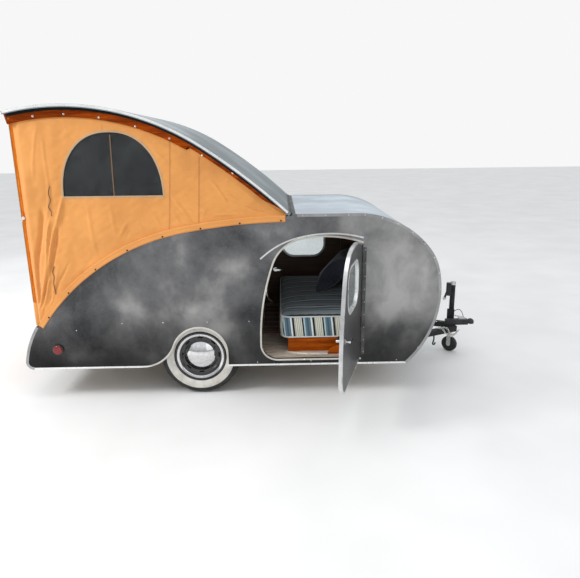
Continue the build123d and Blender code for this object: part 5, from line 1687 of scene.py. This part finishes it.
# %% Door edge channel and hatch edge strip
DOOR_START = (-1.161, 0.915)
DOOR_HEADING = math.radians(160)
DOOR_ARCS = ((0.871, 32.0), (0.290, 59.0), (1.899, 19.0))
DOOR_CORNER, DOOR_SILL = 0.125, -0.020
DOOR_FRONT = -1.166
DOOR_INSET = 0.005
FLOOR_REACH = 0.016
LET_IN = 0.7755
ARC_POINTS = 40
STRIP_INSET, STRIP_FACE = 0.0095, 0.8088
STRIP_TAPE, SHADOW_STRIP_THICK = (0.0085, 0.0012), 0.0012
SHADOW_STRIP_INSET = (0.007, 0.042)
CHANNEL = ((0.012, 0.8010), (-0.0012, 0.8010), (-0.0012, 0.7742), (0.012, 0.7742), (0.012, 0.7750),
           (0.0001, 0.7750), (0.0001, 0.8000), (0.012, 0.8000))


def arc_line(start, heading, arcs, inset):
    """Points and inward normals on arcs that all turn left: centre - n(h) * (radius - inset),
    where n(h) = (-sin h, cos h) points at the centre."""
    points, normals = [], []
    start = np.array(start, float)
    for radius, degrees in arcs:
        turn = math.radians(degrees)
        centre = start + np.array((-math.sin(heading), math.cos(heading))) * radius
        h = heading + np.linspace(0, turn, ARC_POINTS)
        inward = np.stack([-np.sin(h), np.cos(h)], -1)
        points.append(centre - inward * (radius - inset))
        normals.append(inward)
        heading += turn
        start = centre - inward[-1] * radius
    return np.vstack(points), np.vstack(normals), start, heading


def door_line(inset):
    """The door's outline from the hinge over the top and round to the sill's front end."""
    top, top_in, end, heading = arc_line(DOOR_START, DOOR_HEADING, DOOR_ARCS, inset)
    corner_start = (end[0], DOOR_SILL + DOOR_CORNER)
    low, low_in, end, _ = arc_line(corner_start, heading, ((DOOR_CORNER, 90.0),), inset)
    sill = np.column_stack([np.linspace(low[-1, 0], DOOR_FRONT, 30)[1:], np.full(29, DOOR_SILL + inset)])
    points = np.vstack([top, low, sill])
    normals = np.vstack([top_in, low_in, np.broadcast_to((0.0, 1.0), sill.shape)])
    kept = points[:, 0] <= DOOR_FRONT
    return points[kept], normals[kept]


def door_channel():
    """The channel's section carried along the door's edge, closed at both ends. Along the sill
    its inner lip is let into the door, because the closed door touches the floor there."""
    points, normals = door_line(DOOR_INSET)
    depth, y = np.array(CHANNEL).T
    flat = points[:, None] + normals[:, None] * depth[None, :, None]
    heights = np.maximum(y, np.where(flat[..., 1] < FLOOR_REACH, LET_IN, 0))
    rings = with_y(flat, heights).reshape(-1, 3)
    count = len(CHANNEL)
    faces = grid_faces(len(points), count, wrap_columns=True)
    return outward((rings, [faces] + end_caps(len(points), count)))


def opened(piece):
    """A piece of the closed right door, turned open about its hinge."""
    points, blocks = piece
    c, s = math.cos(DOOR_OPEN), math.sin(DOOR_OPEN)
    x, y = points[:, 0] - DOOR_HINGE[0], points[:, 1] - DOOR_HINGE[1]
    turned = np.stack([DOOR_HINGE[0] + c * x - s * y, DOOR_HINGE[1] + s * x + c * y, points[:, 2]], -1)
    return turned, blocks


def door_piece(piece, side):
    """The left door is closed. The right one is the mirrored piece, opened."""
    return opened(mirrored(piece)) if side == "right" else piece


channel = door_channel()
# The open door's outer corner is the CAD model's near limit, and the channel keeps to it
for side in ("right", "left"):
    points, blocks = door_piece(channel, side)
    points[:, 1] = np.maximum(points[:, 1], cad_box[0][1])
    build_piece(f"door_channel_{side}", (points, blocks), edge_metal, f"door_{side}", 35)
strip_along = np.linspace(0.03, WHOLE_LENGTH - 0.012, 160)
strip_line = with_y(raised(outline(strip_along, STRIP_INSET)), STRIP_FACE)
strip = ribbon(strip_line, STRIP_TAPE)
# Painted shadow: a black strip on the rib's face under the edge strip stands in for the shadow gap under the
# hatch's edge
shadow_strip_low = np.minimum(SHADOW_STRIP_INSET[1], rib_inset(strip_along) - 0.005)
shadow_strip_half = np.maximum(shadow_strip_low - SHADOW_STRIP_INSET[0], 0.002) / 2
shadow_strip_line = raised(outline(strip_along, SHADOW_STRIP_INSET[0] + shadow_strip_half))
shadow_strip = ribbon(with_y(shadow_strip_line, RIB_FACE + 0.0014), (shadow_strip_half, SHADOW_STRIP_THICK))
build_piece("hatch_edge_strips", both_sides(strip), trim_painted_sheen, "hatch")
build_piece("hatch_edge_shadow_strips", both_sides(shadow_strip), shadow_strip_black, "hatch")

# %% [markdown]
# Inside the door there is a pale strip along the sill, a rounded block of wood that stops the
# bed, and a small rug. The block is a quarter disc, and its grain is the bed's. The rug lies
# flat and is striped across in red and brown.

# %% Sill strip, block and rug
SILL_LINE = ((-1.765, -0.702), (-1.700, -0.730), (-1.610, -0.749), (-1.520, -0.758), (-1.431, -0.762))
BLOCK_X, BLOCK_Y, BLOCK_RADIUS = -1.318, (-0.762, -0.738), 0.105
BLOCK_Z, BLOCK_FLAT = 0.001, 0.65
RUG_X, RUG_Y = (-1.965, -1.825), (-0.23, 0.60)
RUG_Z, RUG_THICK, RUG_GRID = 0.0048, 0.004, (24, 110)
RUG_RIPPLES = (77, 9, 0.10, 0.25, 0.0009)
SILL_Z, SILL_TAPE = 0.0035, (0.014, 0.0030)


def prism(outline_xz, y_low, y_high):
    """A flat closed shape in X and Z, carried from one Y to another."""
    near, far = with_y(outline_xz, y_low), with_y(outline_xz, y_high)
    count = len(outline_xz)
    index = np.arange(count)
    side = np.stack([index, np.roll(index, -1), np.roll(index, -1) + count, index + count], -1)
    return outward((np.vstack([near, far]), [side, index[::-1][None], (index + count)[None]]))


angle = np.linspace(np.pi / 2, np.pi, 18)
arc = np.column_stack([BLOCK_X + BLOCK_RADIUS * np.cos(angle),
                       BLOCK_Z + BLOCK_RADIUS * BLOCK_FLAT * np.sin(angle)])
block_outline = np.vstack([arc, [(BLOCK_X, BLOCK_Z)]])
build_piece("bed_stop_block", prism(block_outline, *BLOCK_Y), bed_wood, "trailer", 35)
sill_points = spline_line(np.column_stack([SILL_LINE, np.full(len(SILL_LINE), SILL_Z)]))
sill_board = ribbon(sill_points, SILL_TAPE, up=(0, 0, 1))
build_piece("sill_board", sill_board, whitewall_rubber, "trailer", 40)

rug_cloth, tree, shader = start_material("striped_rug", (0.2, 0.08, 0.05), 0.95, 0.0, Sheen_Weight=0.3)
here = place(tree)
bands = math_node(tree, "FRACT", math_node(tree, "MULTIPLY", axis_value(tree, here, "Y"), 7.0))
band_color = ramp(tree, bands, [(0.0, (0.10, 0.05, 0.035)), (0.30, (0.30, 0.07, 0.045)),
                                (0.50, (0.42, 0.34, 0.25)), (0.62, (0.17, 0.06, 0.04))])
band_color.node.color_ramp.interpolation = "CONSTANT"
fluff = noise(tree, here, 180, 3)
paint(tree, shader, mix(tree, 0.4, band_color, ramp(tree, fluff, [(0.3, (0.5, 0.5, 0.5)), (0.7, (1, 1, 1))]),
                        "MULTIPLY"))
bump(tree, shader, fluff, 0.4, 0.002)
rug_lines = [np.linspace(*limits, count) for limits, count in zip((RUG_X, RUG_Y), RUG_GRID)]
rug_x, rug_y = np.meshgrid(*rug_lines, indexing="ij")
rug_z = RUG_Z + np.abs(ripples(rug_x, rug_y, *RUG_RIPPLES))
rug_points = np.stack([rug_x, rug_y, rug_z], -1).reshape(-1, 3)
rug_solid = thickened(rug_points, grid_faces(*RUG_GRID), (0, 0, 1), RUG_THICK)
rug = build_piece("rug", rug_solid, rug_cloth, "trailer", 60)

# %% [markdown]
# Screws hold the sheet and the trims. They are low domes in rows: one row along the wall over
# the wheel, rows along the trims round the door, the nose, the roof and the sill, and rows
# down the hinges. A row that follows a trim is spaced along the same arcs as the trim.

# %% Screws
WALL_SCREWS = ((-3.057, 0.302), (-2.732, 0.302), (-2.385, 0.302), (-2.055, 0.302), (-1.996, -0.044),
               (-1.564, -0.041), (-3.420, 0.250), (-0.870, -0.045), (-0.700, 0.060))
SCREW_STEP = 0.125
NOSE_START = (-1.215, 1.144)
NOSE_ARCS = ((0.730, 51.85), (0.427, 24.45), (0.9845, 60.0))
TRIM_FACE = 0.8015
TRIM_MIDDLE = 0.010
WALL_FACE = 0.8
SCREW_SIZE, HINGE_SCREW_SIZE = (0.0042, 0.0019), (0.0036, 0.0016)
SILL_SCREW_Z = -0.0675
HINGE_SCREW_OFFSET = 0.020
DOOR_HINGE_Z = (0.030, 0.865)


def spaced(points, step):
    """Points at equal steps along a line of points."""
    whole = distances(points)[-1]
    return points_at(points, np.linspace(step / 2, whole - step / 2, max(int(whole / step), 2)))


door_trim_line = door_line(-0.007)[0]
nose_line = arc_line((NOSE_START[0], -NOSE_START[1]), 0.0, NOSE_ARCS, TRIM_MIDDLE)[0] * (1, -1)
roof_line = np.linspace((ROOF_EDGE[0] + 0.02, ROOF_EDGE[1] - TRIM_MIDDLE),
                        (NOSE_START[0], NOSE_START[1] - TRIM_MIDDLE), 8)
sill_lines = [np.array([(rear, SILL_SCREW_Z), (front, SILL_SCREW_Z)])
              for rear, front in ((-3.60, -2.86), (-2.05, -0.95))]
screw_rows = [spaced(line, SCREW_STEP) for line in (door_trim_line, nose_line, roof_line, *sill_lines)]
screw_places = with_y(np.vstack(screw_rows), TRIM_FACE)
wall_places = with_y(np.array(WALL_SCREWS), WALL_FACE)
screws = on_both_sides(np.vstack([screw_places, wall_places]), (0, 1, 0), *SCREW_SIZE, 8)
build_piece("trim_screws", screws, snap_metal, "trailer")
hinge_z = np.linspace(*DOOR_HINGE_Z, 9)
for name, body, shift in (("hinge_screws", "trailer", 1), ("hinge_leaf_screws", "door", -1)):
    places = [(DOOR_HINGE[0] + shift * HINGE_SCREW_OFFSET, TRIM_FACE, z) for z in hinge_z]
    row = studs(places, (0, 1, 0), *HINGE_SCREW_SIZE, 8)
    if body == "trailer":
        build_piece(name, both_sides(row), zinc_metal, body)
    else:
        for side in ("right", "left"):
            build_piece(f"{name}_{side}", door_piece(row, side), zinc_metal, f"door_{side}")
print("nose line ends at", nose_line[-1].round(3), "screws", len(screw_places) * 2)

# %% [markdown]
# A knob on each stile turns the clamp that holds the folding frame straight.

# %% Frame knobs
KNOB = ((0.0, 0.001), (0.0, 0.0055), (0.0022, 0.0055), (0.0030, 0.0115), (0.0060, 0.0125),
        (0.0080, 0.0100), (0.0085, 0.001))
KNOB_PLACE = (-3.741, 0.7357, 1.135)
knob = lathe(KNOB, KNOB_PLACE, 20, closed_profile=False)
build_piece("frame_knobs", both_sides(knob), whitewall_rubber, "rear_frame_top", 35)

# %% [markdown]
# On the drawbar lie two safety chains, a thin cable from the jack to the coupler and a small
# black hook. Each chain is a row of closed links along a smooth line, every other one turned
# by a quarter. The jack has a pale cap and a pale sleeve on its crank knob.

# %% Drawbar fittings
RAIL_APEX = (-0.146, -0.042)
RAIL_BACK = (-math.cos(math.radians(25)), -math.sin(math.radians(25)))
RAIL_OUT = (math.sin(math.radians(25)), -math.cos(math.radians(25)))
LINK_STEP, LINK_LENGTH, LINK_WIDTH, LINK_WIRE = 0.0170, 0.0115, 0.0070, 0.0024
LINK_LOOK = 0.004
CABLE_RADIUS, HOOK_RADIUS = 0.003, 0.0065
# Columns: back along the near rail from its front end, out from its middle line, Z
CHAIN_ROUTES = (
    ((0.190, -0.020, -0.0150), (0.165, 0.010, -0.0145), (0.140, 0.026, -0.0150), (0.125, 0.0345, -0.035),
     (0.105, 0.036, -0.075), (0.075, 0.024, -0.112), (0.030, 0.002, -0.118), (-0.020, -0.004, -0.098),
     (-0.045, -0.006, -0.075)),
    ((0.235, -0.015, -0.0150), (0.210, 0.012, -0.0145), (0.190, 0.027, -0.0150), (0.178, 0.0345, -0.035),
     (0.150, 0.036, -0.070), (0.100, 0.034, -0.098), (0.050, 0.020, -0.100), (0.0, 0.014, -0.088),
     (-0.035, 0.006, -0.066)),
)


def at_rail(rows):
    """Points from rows measured along the near rail: p = apex + b * back + o * out."""
    back, out, z = np.array(rows, float).T
    x = RAIL_APEX[0] + back * RAIL_BACK[0] + out * RAIL_OUT[0]
    y = RAIL_APEX[1] + back * RAIL_BACK[1] + out * RAIL_OUT[1]
    return np.stack([x, y, z], -1)


def chain(line):
    """Closed links along a line: an oval in the plane of the line and a side direction."""
    at = np.arange(LINK_STEP / 2, distances(line)[-1], LINK_STEP)
    here, ahead, back = (points_at(line, at + shift) for shift in (0, LINK_LOOK, -LINK_LOOK))
    angle = np.linspace(0, 2 * np.pi, 14, endpoint=False)
    links = []
    for number, (middle, along) in enumerate(zip(here, unit(ahead - back))):
        flat = unit(np.cross(along, (0.3, 0.2, 0.93)))
        turned = unit(np.cross(along, flat))
        across, normal = (flat, turned) if number % 2 else (turned, flat)
        oval = (middle + np.cos(angle)[:, None] * along * LINK_LENGTH
                + np.sin(angle)[:, None] * across * LINK_WIDTH)
        links.append(bar(oval, LINK_WIRE, LINK_WIRE, 6, closed=True, up=normal))
    return joined(links)


chains = [chain(spline_line(at_rail(rows))) for rows in CHAIN_ROUTES]
build_piece("safety_chains", joined(chains), snap_metal, "trailer", 80)

# The cable keeps to the near side of the bracket, out of the way of the jack's swing
CABLE = ((-0.140, 0.0650, 0.085), (-0.118, 0.057, 0.108), (-0.092, 0.042, 0.112), (-0.076, 0.022, 0.088),
         (-0.070, 0.006, 0.060), (-0.068, -0.004, 0.040))
cable_line = spline_line(np.array(CABLE))
cable = build_piece("drawbar_cable", cord_tube(cable_line, CABLE_RADIUS), black_plastic, "trailer", 80)
HOOK = ((0.275, 0.010, -0.066), (0.277, 0.020, -0.090), (0.290, 0.030, -0.118), (0.305, 0.034, -0.135),
        (0.300, 0.038, -0.150), (0.280, 0.036, -0.146), (0.272, 0.034, -0.132))
hook = cord_tube(spline_line(at_rail(HOOK)), HOOK_RADIUS, 10)
build_piece("drawbar_hook", hook, frame_paint, "trailer", 60)

JACK_AXIS = (-0.14856, 0.11933)
CRANK_AXIS = (0.42262, 0.90631, 0.0)
CRANK_KNOB = (-0.1936, 0.2120, 0.180)
BUTTON_BACK, BUTTON_SIZE = 0.027, (0.013, 0.006)
CAP = ((0.338, 0.0243), (0.338, 0.0262), (0.359, 0.0262), (0.3675, 0.0215), (0.3700, 0.0010),
       (0.3655, 0.0010), (0.3655, 0.0243))
SLEEVE = ((-0.0190, 0.0122), (-0.0190, 0.0148), (-0.0110, 0.0158), (0.0100, 0.0158), (0.0190, 0.0148),
          (0.0228, 0.0105), (0.0232, 0.0010), (0.0214, 0.0010), (0.0214, 0.0122))
build_piece("jack_cap", lathe(CAP, (*JACK_AXIS, 0.0), 32, axis=(0, 0, 1)), zinc_metal, "jack", 35)
arm_side = np.array(CRANK_KNOB) - np.array(CRANK_AXIS) * BUTTON_BACK
button = studs(arm_side, -np.array(CRANK_AXIS), *BUTTON_SIZE, 16)
build_piece("crank_button", button, whitewall_rubber, "jack")
sleeve = lathe(SLEEVE, CRANK_KNOB, 24, axis=CRANK_AXIS)
build_piece("crank_sleeve", sleeve, whitewall_rubber, "jack", 35)
